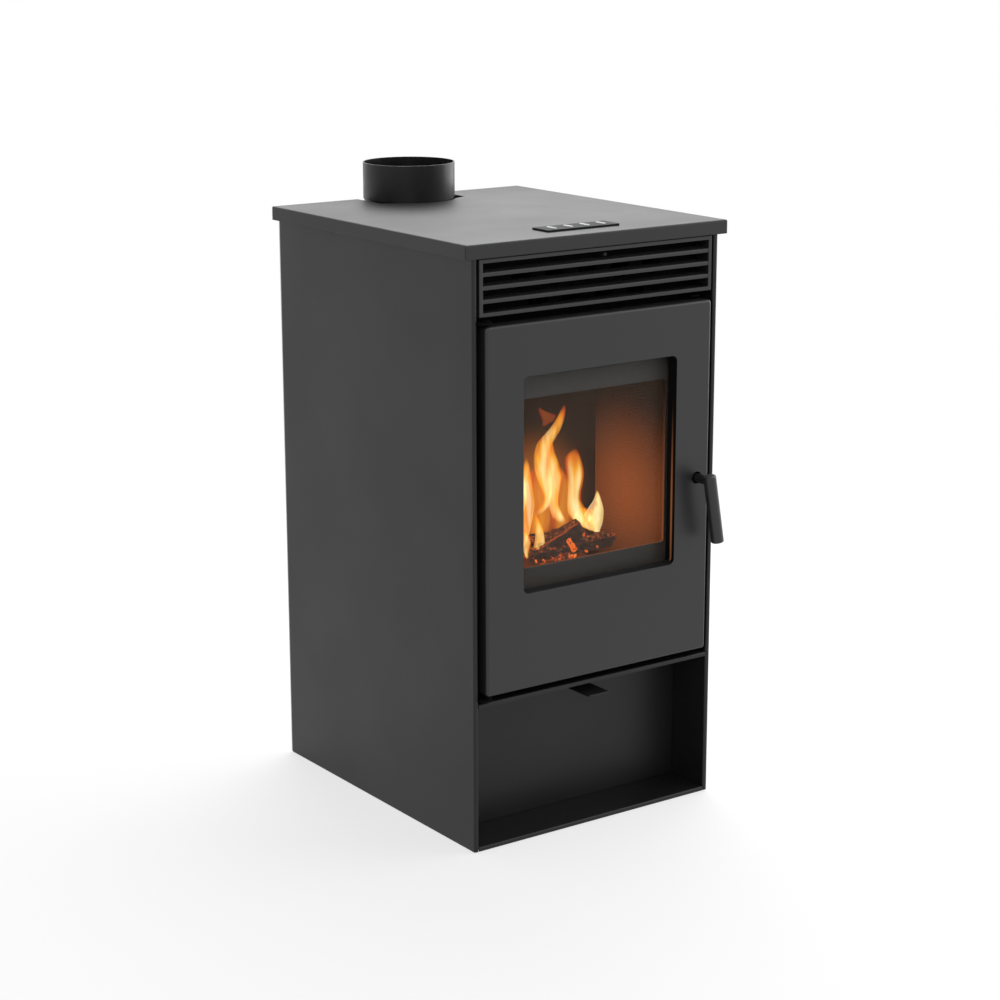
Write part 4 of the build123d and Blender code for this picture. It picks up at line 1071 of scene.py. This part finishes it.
class STOVE_OT_seals(bpy.types.Operator):
    """Plait the door's sealing rope and weave the glass gasket"""

    bl_idname = "stove.seals"
    bl_label = "Seals"

    def execute(self, context):
        fibre, graphited = (bpy.data.materials[kind + "_glass_fibre"] for kind in ("plaited", "graphited"))
        pitch = context.scene.stove_sizes.braid_pitch
        rope = piece("door_rope_plaited", self.rope("door_rope_plaited", pitch), fibre, "door")
        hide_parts("door_rope")
        tape = piece("glass_gasket_woven", self.tape("glass_gasket_woven"), graphited, "door")
        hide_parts("glass_gasket")
        return {"FINISHED"}

    def rope(self, name, pitch):
        """Rope plaited from eight strands, laid round the door with rounded corners."""
        strands, sides, corner, step = 8, 16, mm(18), mm(1.2)
        low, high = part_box("door_rope")
        radius = (high.y - low.y) / 2
        middle = (low + high) / 2
        rings = []
        for x, z, along in rounded_frame(high.x - radius, high.z - middle.z - radius, corner, step):
            outward = Vector((x, 0, z)).normalized()
            ring = []
            for side in range(sides):
                angle = side / sides * math.tau
                turn = strands / 2 * angle / math.tau
                plait = abs(math.sin(math.pi * (along / pitch + turn)))
                plait *= abs(math.sin(math.pi * (along / pitch - turn)))
                reach = radius * (0.84 + 0.16 * plait)
                out, back = reach * math.cos(angle), reach * math.sin(angle)
                ring.append(Vector((x, middle.y, middle.z + z)) + outward * out + Vector((0, back, 0)))
            rings.append(ring)
        return tube_mesh(name, rings, closed=True)

    def tape(self, name):
        """Flat woven tape round the glass, a little thinner at every stitch."""
        half_width, sides, corner, step, stitch = mm(5), 12, mm(4), mm(2.5), mm(7)
        low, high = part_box("glass_gasket")
        half_depth = (high.y - low.y) / 2
        middle = (low + high) / 2
        rings = []
        for x, z, along in rounded_frame(high.x - half_width, high.z - middle.z - half_width, corner, step):
            beside = abs(x) - high.x > abs(z) - (high.z - middle.z)
            outward = (Vector((x, 0, 0)) if beside else Vector((0, 0, z))).normalized()
            waver = 1 - 0.05 * (1 + math.sin(along / stitch * math.tau)) / 2
            ring = []
            for side in range(sides):
                angle = side / sides * math.tau
                across = math.copysign(abs(math.cos(angle)) ** 0.4, math.cos(angle)) * half_width
                deep = math.copysign(abs(math.sin(angle)) ** 0.6, math.sin(angle)) * half_depth
                ring.append(Vector((x, middle.y + deep * waver, middle.z + z)) + outward * across)
            rings.append(ring)
        return tube_mesh(name, rings, closed=True)


class STOVE_OT_handle(bpy.types.Operator):
    """Finish the door handle and its latch"""

    bl_idname = "stove.handle"
    bl_label = "Handle"

    def execute(self, context):
        materials = bpy.data.materials
        dress(materials["stem_gloss_black_paint"], "handle_stem")
        dress(materials["grip_silicone_paint"], "handle_grip")
        dress(materials["turned_bright_steel"], "latch_cam")
        return {"FINISHED"}


class STOVE_OT_flue(bpy.types.Operator):
    """Finish the flue collar and the box under it"""

    bl_idname = "stove.flue"
    bl_label = "Flue"

    def execute(self, context):
        dress(flue_enamel(tuple(context.scene.stove_colours.flue)), "flue_collar")
        # Painted shade: near-black like the other parts that lie in shade
        dress(bpy.data.materials["inner_black_paint_and_shade"], "smoke_box")
        return {"FINISHED"}


class STOVE_OT_firebox(bpy.types.Operator):
    """Finish the firebox, its liners and tubes, the burn pot and the ash pan"""

    bl_idname = "stove.firebox"
    bl_label = "Firebox"

    def execute(self, context):
        colours = context.scene.stove_colours
        materials = bpy.data.materials
        pot_low, pot_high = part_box("burn_pot")
        liner_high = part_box("side_liners")[1]
        middle = (pot_low + pot_high) / 2
        lit = (liner_high.x, middle.y - mm(12), pot_high.z + mm(82))
        side = sand_cast_iron(
            "sand_cast_iron_side", tuple(colours.liner), linear("#8d4418"), lit, (mm(0), mm(172))
        )
        behind = (mm(20), liner_high.y, pot_high.z + mm(80))
        back = sand_cast_iron(
            "sand_cast_iron_back", tuple(colours.liner), linear("#9a5420"), behind, (mm(20), mm(120))
        )
        pot = sand_cast_iron(
            "sand_cast_iron_pot", linear("#241c18"), linear("#6a2a10"), tuple(middle), (mm(30), mm(90))
        )
        dress(side, "side_liners")
        dress(back, "back_liner", "baffle_plate")
        dress(pot, "burn_pot")
        dress(materials["fire_scaled_steel_and_shade"], "firebox_shell", "tube_scraper", "pot_holder")
        # Painted shade: the tubes seen through the grille are near-black for the shade they lie in
        dress(materials["inner_black_paint_and_shade"], "exchanger_tubes")
        dress(materials["turned_bright_steel"], "igniter")
        dress(materials["galvanised_sheet_steel"], "ash_pan")

        # Ash that has blown over the pot's edge into the pan
        ash = fine_ash()
        chance = random.Random(5)
        for side, name in ((-1, "ash_heap_left"), (1, "ash_heap_right")):
            piece(name, self.ash_heap(name, side, chance), ash, "casing")
        return {"FINISHED"}

    def ash_heap(self, name, side, chance):
        """A lumpy heap in the ash pan beside the burn pot, deeper at the front."""
        gap, margin, sheet, depth, grit = mm(18), mm(6), mm(2), mm(7), mm(0.3)
        pot_low, pot_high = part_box("burn_pot")
        low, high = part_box("ash_pan")
        inner = side * (pot_high.x + gap)
        outer = side * (high.x - margin)
        rows, columns = 28, 22
        heap = []
        for row in range(rows + 1):
            y = low.y + margin + (high.y - low.y - 2 * margin) * row / rows
            rim = min(row, rows - row) / rows * 2
            crown = depth * min(1.0, 2.2 * rim) * (1.2 - 0.6 * row / rows)
            line = []
            for column in range(columns + 1):
                x = inner + (outer - inner) * column / columns
                lump = mm(2) * noise.noise(Vector((x, y, side)) * 60)
                line.append((x, y, low.z + sheet + max(0.0, crown + lump)))
            heap.append(line)
        form = bmesh.new()
        join_rows(form, vertices(form, heap))
        for vertex in form.verts:
            vertex.co.z += grit * chance.random()
        close_below(form, (pot_low + pot_high) / 2, low.z + mm(1.6))
        return mesh_of(form, name)


# Each charred log from end to end: sideways place, place front to back, height above the pot's rim and
# radius, in millimetres
logs = {
    "charred_log_front": (
        (-52, -172, 12, 7), (-44, -171, 12, 13), (30, -165, 12, 13), (102, -159, 12, 13),
        (107, -159, 12, 12),
    ),
    "charred_log_rear": (
        (-56, -120, 13, 6), (-50, -120, 13, 13), (10, -117, 14, 14), (58, -115, 13, 13), (66, -114, 13, 6),
    ),
}

# The split block that leans on them: its two ends, each from the ridge at the front round by the upper
# rear edge, the lower rear edge and the foot at the front
block_ends = (
    ((-42, -182, 24), (-30, -158, 29), (-30, -146, 6), (-44, -180, 3)),
    ((33, -178, 52), (44, -158, 54), (88, -142, 10), (52, -174, 2)),
)

# Charcoal burning through on the logs: both ends, as sideways place, place front to back and height above
# the pot's rim, then half width and half thickness, in millimetres
chips = (
    ((9, -184, 31), (24, -183, 10), 4.6, 2.6),
    ((47, -174, 33), (50, -171, 27), 1.6, 1.4),
    ((60, -166, 24), (68, -162, 17), 1.7, 1.5),
    ((44, -182, 7), (50, -180, 4), 1.8, 1.6),
    ((72, -174, 9), (76, -172, 5), 1.4, 1.4),
    ((-54, -186, 9), (-50, -184, 4), 1.6, 1.5),
    ((-40, -186, 7), (-35, -185, 3), 1.8, 1.6),
    ((-24, -186, 8), (-18, -184, 5), 1.5, 1.4),
)


class STOVE_OT_logs(bpy.types.Operator):
    """Split and char the logs over the burn pot"""

    bl_idname = "stove.logs"
    bl_label = "Charred logs"

    def execute(self, context):
        colours = context.scene.stove_colours
        wood = charred_wood(tuple(colours.wood), tuple(colours.glow))
        for number, (name, points) in enumerate(logs.items()):
            log = piece(name, tube_mesh(name, self.rings(points, number)), wood, "casing")
            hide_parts("charred_logs")
        block = self.block("charred_log_upper")
        block = piece("charred_log_upper", block, wood, "casing", smooth=False)
        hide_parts("charred_logs")
        ember = glowing_charcoal(tuple(colours.glow))
        for number, chip in enumerate(chips):
            name = f"glowing_chip_{number + 1}"
            piece(name, self.chip(name, *chip), ember, "casing", smooth=False)
        return {"FINISHED"}

    def rings(self, points, number):
        """Sections of a split log: a rounded wedge with its sharp edge up, and rough bark."""
        pot_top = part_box("burn_pot")[1].z
        rows = curve_through(points, 14)
        sides = 40
        rings = []
        for row, after in zip(rows, rows[1:] + [rows[-1]]):
            centre = Vector((mm(row[0]), mm(row[1]), pot_top + mm(row[2])))
            line = Vector((after[0] - row[0], after[1] - row[1], 0)) if after != row else line
            across = line.cross(Vector((0, 0, 1))).normalized()
            ring = []
            for side in range(sides):
                angle = side / sides * math.tau
                turned = (angle - math.pi / 2 + number * 0.5 + math.pi / 3) % (math.tau / 3) - math.pi / 3
                wedge = 0.78 / max(0.72, math.cos(turned))
                around = Vector((row[0] / 14, math.cos(angle) * 1.6, math.sin(angle) * 1.6 + number * 9))
                bark = noise.fractal(around, 0.7, 2.0, 5)
                reach = mm(row[3]) * wedge * (0.98 + 0.13 * bark)
                rise = Vector((0, 0, reach * math.sin(angle)))
                ring.append(centre + across * reach * math.cos(angle) + rise)
            rings.append(ring)
        return rings

    def block(self, name):
        """A block split off a round: flat sides, rough all over, with "crest" 1 along its ridge."""
        pot_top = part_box("burn_pot")[1].z
        near, far = (
            [Vector((mm(x), mm(y), pot_top + mm(z))) for x, y, z in corners] for corners in block_ends
        )
        sides = [(near[at], near[(at + 1) % 4], far[(at + 1) % 4], far[at]) for at in range(4)]
        sides += [tuple(reversed(near)), tuple(far)]
        cells = 40
        form = bmesh.new()
        crest = form.verts.layers.float.new("crest")
        steps = [at / cells for at in range(cells + 1)]
        for first, second, third, fourth in sides:
            lines = [(first.lerp(fourth, down), second.lerp(third, down)) for down in steps]
            face = [[begin.lerp(end, along) for along in steps] for begin, end in lines]
            join_rows(form, vertices(form, face))
        bmesh.ops.remove_doubles(form, verts=form.verts, dist=mm(0.01))
        bmesh.ops.recalc_face_normals(form, faces=form.faces)
        ridge = far[0] - near[0]
        # Without a seed this noise would differ from run to run
        noise.seed_set(7)
        for vertex in form.verts:
            off = (vertex.co - near[0]).cross(ridge).length / ridge.length
            vertex[crest] = max(0.0, 1 - off / mm(1.8))
            splits = noise.noise_vector(vertex.co * 90) * mm(1.6)
            fibres = noise.noise_vector(vertex.co * 310) * mm(0.7)
            vertex.co += splits + fibres
        return mesh_of(form, name)

    def chip(self, name, begin, end, half_width, half_depth):
        """One chunk of charcoal with broken, uneven sides."""
        pot_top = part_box("burn_pot")[1].z
        begin, end = (Vector((mm(x), mm(y), pot_top + mm(z))) for x, y, z in (begin, end))
        line = end - begin
        across = line.cross(Vector((0, 1, 0))).normalized()
        rings = []
        for share in (0.0, 0.08, 0.3, 0.55, 0.8, 0.95, 1.0):
            size = 0.55 if share in (0.0, 1.0) else 1.0
            ring = []
            for side in range(8):
                angle = (side + 0.5) / 8 * math.tau
                rough = 1 + 0.5 * noise.noise(Vector((share * 4, side * 1.7, begin.x * 300)))
                ring.append(
                    begin
                    + line * share
                    + across * mm(half_width) * size * rough * math.cos(angle)
                    + Vector((0, mm(half_depth) * size * rough * math.sin(angle), 0))
                )
            rings.append(ring)
        return tube_mesh(name, rings)


class STOVE_OT_embers(bpy.types.Operator):
    """Heap burning pellets on the burn pot"""

    bl_idname = "stove.embers"
    bl_label = "Ember bed"

    def execute(self, context):
        sizes = context.scene.stove_sizes
        glow = tuple(context.scene.stove_colours.glow)
        low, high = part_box("ember_bed")
        middle = (low + high) / 2
        chance = random.Random(11)
        # The heap itself: a crowned, lumpy top over straight sides
        rows = 30
        steps = [at / rows * 2 - 1 for at in range(rows + 1)]
        heap = []
        for v in steps:
            line = []
            for u in steps:
                place = Vector((middle.x + u * (high.x - middle.x), middle.y + v * (high.y - middle.y), 0))
                crown = (1 - u**4) * (1 - v**4)
                lump = noise.noise(place * 110) + 0.5 * noise.noise(place * 260)
                place.z = high.z - mm(7) + mm(8) * crown + mm(2.2) * lump
                line.append(place)
            heap.append(line)
        form = bmesh.new()
        join_rows(form, vertices(form, heap))
        close_below(form, middle, low.z + mm(2), taper=0.08)
        # Loose pellets on it
        margin = mm(9)
        for _ in range(sizes.pellet_count):
            x = chance.uniform(low.x + margin, high.x - margin)
            y = chance.uniform(low.y + margin, high.y - margin)
            crown = 1 - ((x - middle.x) / (high.x - middle.x)) ** 4
            lift = high.z + mm(1) + crown * mm(5) * chance.random()
            length = sizes.pellet_length * chance.uniform(0.6, 1.25)
            turn = Matrix.Rotation(chance.uniform(0, math.tau), 4, "Z")
            tilt = Matrix.Rotation(math.radians(90 + chance.uniform(-28, 28)), 4, "X")
            bmesh.ops.create_cone(
                form,
                cap_ends=True,
                segments=10,
                radius1=sizes.pellet_radius,
                radius2=sizes.pellet_radius * chance.uniform(0.85, 1.0),
                depth=length,
                matrix=Matrix.Translation((x, y, lift)) @ turn @ tilt,
            )
        mesh = mesh_of(form, "ember_bed_heap")
        heap = piece("ember_bed_heap", mesh, burning_pellets(glow), "casing", smooth=False)
        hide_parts("ember_bed")
        return {"FINISHED"}


# Each lick of flame from its foot up: height above the pot's rim, sideways place and half width, in
# millimetres. The first number is its place front to back. The last three, where it has its own, are how
# warm it is at the foot and at the tip, and how thick.
licks = {
    "rear_left": (
        -106,
        (
            (10, 10, 20), (46, 10, 27), (84, 6, 24), (112, 4, 15), (134, 4, 0.4),
        ),
        0.46,
        0.3,
        0.2,
    ),
    "rear_right": (
        -108,
        (
            (14, 52, 14), (46, 56, 18), (84, 54, 16), (110, 50, 10), (128, 48, 0.4),
        ),
        0.46,
        0.3,
        0.2,
    ),
    "tall_left": (
        -140,
        (
            (62, -23, 3), (66, -15, 6), (72, -7, 7), (80, -1, 7.5), (90, 2, 9), (100, 0, 11),
            (114, -3, 13), (128, -6, 14), (143, -8, 14), (156, -7, 15), (170, -4, 14), (180, 2, 14),
            (189, 10, 12), (198, 17, 9.5), (211, 25, 7), (224, 31, 4), (234, 34, 0.4),
        ),
    ),
    "tall_right": (
        -146,
        (
            (44, 31, 8), (55, 22, 10), (67, 15, 9), (78, 11, 9), (92, 10, 10.5), (106, 11, 12),
            (120, 13, 14), (131, 11, 12.5), (145, 8, 10.5), (159, 5, 7), (173, 5, 3.5), (186, 4, 0.4),
        ),
    ),
    "wisp": (
        -138,
        (
            (200, -4, 0.4), (205, -1, 6), (211, 5, 12), (216, 5, 14), (220, 0, 10), (226, -8, 5),
            (233, -14, 0.4),
        ),
        0.26,
        0.2,
        0.08,
    ),
    "middle": (
        -144,
        (
            (30, 74, 6), (36, 70, 10), (45, 63, 13), (56, 58, 15.5), (68, 54, 14.5), (79, 51, 12),
            (93, 51, 12), (107, 53, 14), (121, 53, 15.5), (135, 50, 15.5), (146, 48, 13.5), (154, 49, 9),
            (163, 51, 0.4),
        ),
    ),
    "saddle": (-142, ((22, 90, 3), (34, 80, 14), (46, 74, 20), (56, 72, 15), (64, 71, 1))),
    "right": (
        -148,
        (
            (15, 99, 1), (27, 92, 8.5), (39, 86, 15), (50, 82, 19), (62, 87, 14), (72, 92, 8),
            (80, 94, 4.5), (90, 94, 0.4),
        ),
        1.3,
        0.7,
    ),
    "left": (
        -138,
        (
            (6, -62, 14), (24, -58, 18), (49, -50, 21), (84, -45, 22), (105, -42, 17), (118, -39, 13),
            (132, -37, 8.5), (146, -36, 4.5), (158, -36, 0.4),
        ),
        1.0,
        0.45,
        0.3,
    ),
    "left_heart": (
        -130,
        (
            (10, -54, 10), (49, -49, 13), (84, -44, 12), (105, -42, 10), (122, -40, 6), (142, -39, 0.4),
        ),
        1.3,
        0.8,
        0.3,
    ),
    "low_left": (-172, ((8, -59, 2), (20, -59, 5), (31, -59, 6.5), (46, -62, 5), (58, -64, 0.4))),
    "low_middle": (
        -172,
        (
            (6, -41, 2), (16, -40, 6), (24, -37, 9.5), (34, -35, 9), (45, -36, 7.5), (56, -38, 5.5),
            (67, -41, 4), (79, -44, 0.4),
        ),
    ),
}


class STOVE_OT_flames(bpy.types.Operator):
    """Raise the flames over the logs"""

    bl_idname = "stove.flames"
    bl_label = "Flames"

    def execute(self, context):
        colours = context.scene.stove_colours
        gas = burning_gas(tuple(colours.flame_rim), tuple(colours.flame_body), tuple(colours.flame_core))
        for name, outline in licks.items():
            flame = piece(f"flame_{name}", self.lick(f"flame_{name}", *outline), gas, "casing")
            flame.visible_shadow = False
            flame.visible_diffuse = False
        return {"FINISHED"}

    def lick(self, name, middle_y, points, foot=0.95, tip=0.36, thick=0.3):
        """The closed skin of one lick, marked with its heart, its warmth and how much gas covers."""
        depth = bpy.context.scene.stove_sizes.flame_depth
        pot_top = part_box("burn_pot")[1].z
        rows = curve_through(points, 7)
        sides = 32
        rings, marks = [], {"heart": [], "warmth": [], "cover": []}
        for above, sideways, half in rows:
            share = (above - rows[0][0]) / (rows[-1][0] - rows[0][0])
            sway = mm(6) * noise.noise(Vector((share * 2.2, middle_y, sideways / 60)))
            ring = []
            for side in range(sides):
                angle = side / sides * math.tau
                around = Vector((math.cos(angle) * 1.4, math.sin(angle) * 1.4, above / 24 + middle_y))
                across = max(0.2, half) * (1 + 0.1 * noise.noise(around))
                ring.append(
                    Vector(
                        (
                            mm(sideways + across * math.cos(angle)),
                            mm(middle_y + across * depth * math.sin(angle)) + sway,
                            pot_top + mm(above),
                        )
                    )
                )
                heart = abs(math.sin(angle)) ** 1.3
                marks["heart"].append(heart)
                marks["warmth"].append(foot + (tip - foot) * smooth(0.6, 1.0, share))
                ends = smooth(0, 0.1, share) * smooth(0, 0.12, 1 - share)
                marks["cover"].append(thick * smooth(0, 0.4, heart) * ends)
            rings.append(ring)
        mesh = tube_mesh(name, rings)
        for mark, values in marks.items():
            mesh.attributes.new(mark, "FLOAT", "POINT").data.foreach_set("value", values)
        return mesh


class STOVE_OT_feed(bpy.types.Operator):
    """Finish the hopper, auger and its motor"""

    bl_idname = "stove.feed"
    bl_label = "Pellet feed"

    def execute(self, context):
        materials = bpy.data.materials
        dress(materials["galvanised_sheet_steel"], "hopper")
        dress(materials["fire_scaled_steel_and_shade"], "auger_tube")
        dress(materials["turned_bright_steel"], "auger_screw")
        dress(materials["die_cast_aluminium"], "auger_motor")
        return {"FINISHED"}


class STOVE_OT_air(bpy.types.Operator):
    """Finish the combustion air path and the convection fan"""

    bl_idname = "stove.air"
    bl_label = "Air"

    def execute(self, context):
        materials = bpy.data.materials
        dress(materials["galvanised_sheet_steel"], "air_box", "air_intake_pipe", "blower_housing")
        dress(materials["casing_silicone_paint"], "air_slide")
        dress(materials["die_cast_aluminium"], "blower_motor")
        dress(cast_aluminium("rolled_aluminium", linear("#c0c2c4"), 0.36), "blower_rotor")
        return {"FINISHED"}


class STOVE_OT_smoke(bpy.types.Operator):
    """Finish the smoke path and the exhaust fan"""

    bl_idname = "stove.smoke"
    bl_label = "Smoke path"

    def execute(self, context):
        materials = bpy.data.materials
        dress(materials["fire_scaled_steel_and_shade"], "smoke_collector")
        dress(materials["galvanised_sheet_steel"], "exhaust_pipe", "exhaust_fan_housing")
        dress(materials["turned_bright_steel"], "exhaust_impeller")
        dress(materials["die_cast_aluminium"], "exhaust_motor")
        return {"FINISHED"}


class STOVE_OT_electrics(bpy.types.Operator):
    """Finish the mains inlet"""

    bl_idname = "stove.electrics"
    bl_label = "Electrics"

    def execute(self, context):
        dress(bpy.data.materials["black_nylon_and_recess_shade"], "mains_inlet")
        return {"FINISHED"}


class STOVE_OT_stage(bpy.types.Operator):
    """Lay the floor and set the light, background and camera"""

    bl_idname = "stove.stage"
    bl_label = "Stage"

    def execute(self, context):
        self.floor()
        self.world(context.scene)
        self.lamps()
        self.camera(context.scene)
        context.scene.view_settings.view_transform = "Standard"
        return {"FINISHED"}

    def floor(self):
        """A pale floor that is white to the eye and still takes the stove's shadow."""
        form = bmesh.new()
        bmesh.ops.create_circle(form, cap_ends=True, segments=96, radius=30.0)
        mesh = mesh_of(form, "studio_floor")
        material, tree, place = start("studio_paper")
        away = add(tree, "ShaderNodeVectorMath", {0: place}, operation="LENGTH")
        far = {"Value": away.outputs["Value"], 1: 0.6, 2: 3.0}
        far = add(tree, "ShaderNodeMapRange", far, interpolation_type="SMOOTHSTEP")
        paper = add(tree, "ShaderNodeBsdfDiffuse", {"Color": linear("#828282")})
        shadowed = add(tree, "ShaderNodeBsdfDiffuse", {"Color": (0.38, 0.38, 0.38, 1.0)})
        glare = add(tree, "ShaderNodeEmission", {"Color": white, "Strength": 0.655})
        near = add(tree, "ShaderNodeAddShader", {0: shadowed.outputs[0], 1: glare.outputs[0]})
        blank = add(tree, "ShaderNodeEmission", {"Color": white, "Strength": 1.0})
        bright = {0: far.outputs[0], 1: near.outputs[0], 2: blank.outputs[0]}
        bright = add(tree, "ShaderNodeMixShader", bright)
        mixed = add(tree, "ShaderNodeMixShader", {0: seen(tree), 1: paper.outputs[0], 2: bright.outputs[0]})
        add(tree, "ShaderNodeOutputMaterial", {"Surface": mixed.outputs[0]})
        mesh.materials.append(material)
        floor = bpy.data.objects.new("studio_floor", mesh)
        bpy.context.scene.collection.objects.link(floor)

    def world(self, scene):
        """White to the eye and in reflections, dimmer as light on the object."""
        world = bpy.data.worlds.new("studio")
        world.use_nodes = True
        world.node_tree.nodes.clear()
        tree = world.node_tree
        strength = add(tree, "ShaderNodeMapRange", {"Value": seen(tree), 3: 0.5, 4: 1.0})
        background = add(tree, "ShaderNodeBackground", {"Color": white, "Strength": strength.outputs[0]})
        add(tree, "ShaderNodeOutputWorld", {"Surface": background.outputs[0]})
        scene.world = world

    def lamps(self):
        """A soft key lamp above and behind on the right, two weaker lamps in front and one from the right."""
        low, high = cad_box
        target = Vector(((low[0] + high[0]) / 2, (low[1] + high[1]) / 2, high[2] * 0.5))
        for name, place, size, power in (
            ("key_lamp", (1.5, 1.9, 3.1), 3.2, 84),
            ("fill_lamp", (-2.2, -2.6, 2.2), 2.0, 14),
            ("side_lamp", (2.6, -1.9, 2.1), 2.0, 22),
            ("rim_lamp", (3.1, 0.1, 1.2), 2.8, 44),
        ):
            data = bpy.data.lights.new(name, "AREA")
            data.shape = "DISK"
            data.size = size
            data.energy = power
            lamp = bpy.data.objects.new(name, data)
            lamp.location = place
            lamp.rotation_euler = (target - Vector(place)).to_track_quat("-Z", "Y").to_euler()
            bpy.context.scene.collection.objects.link(lamp)

    def camera(self, scene):
        """The photograph's view, from the left of the front and a little above the top."""
        turn_right, look_down, roll = (math.radians(angle) for angle in (35.2732, 14.2433, -0.0975))
        data = bpy.data.cameras.new("view")
        data.sensor_width = 36
        data.lens = 85.198
        camera = bpy.data.objects.new("view", data)
        camera.location = (-2.09313, -2.97641, 1.37911)
        aim = Euler((math.pi / 2 - look_down, 0, -turn_right)).to_matrix()
        camera.rotation_euler = (aim @ Matrix.Rotation(roll, 3, "Z")).to_euler()
        scene.collection.objects.link(camera)
        scene.camera = camera


class STOVE_PT_panel(bpy.types.Panel):
    """The sidebar panel that lists the stove's builders, colours and sizes."""

    bl_idname = "STOVE_PT_panel"
    bl_label = "Pellet Stove"
    bl_space_type = "VIEW_3D"
    bl_region_type = "UI"
    bl_category = "Stove"

    def draw(self, context):
        for builder in builders:
            self.layout.operator(builder.bl_idname)
        for group in (context.scene.stove_colours, context.scene.stove_sizes):
            for name in group.__annotations__:
                self.layout.prop(group, name)


builders = (
    STOVE_OT_materials,
    STOVE_OT_stage,
    STOVE_OT_casing,
    STOVE_OT_lid,
    STOVE_OT_door,
    STOVE_OT_seals,
    STOVE_OT_handle,
    STOVE_OT_flue,
    STOVE_OT_firebox,
    STOVE_OT_logs,
    STOVE_OT_embers,
    STOVE_OT_flames,
    STOVE_OT_feed,
    STOVE_OT_air,
    STOVE_OT_smoke,
    STOVE_OT_electrics,
)
classes = (StoveColours, StoveSizes, *builders, STOVE_PT_panel)


def register():
    for kind in classes:
        bpy.utils.register_class(kind)
    bpy.types.Scene.stove_colours = PointerProperty(type=StoveColours)
    bpy.types.Scene.stove_sizes = PointerProperty(type=StoveSizes)


def unregister():
    del bpy.types.Scene.stove_sizes
    del bpy.types.Scene.stove_colours
    for kind in reversed(classes):
        bpy.utils.unregister_class(kind)


def main():
    """Builds everything in order."""
    register()
    for builder in builders:
        group, name = builder.bl_idname.split(".")
        getattr(getattr(bpy.ops, group), name)()


if __name__ == "__main__":
    main()
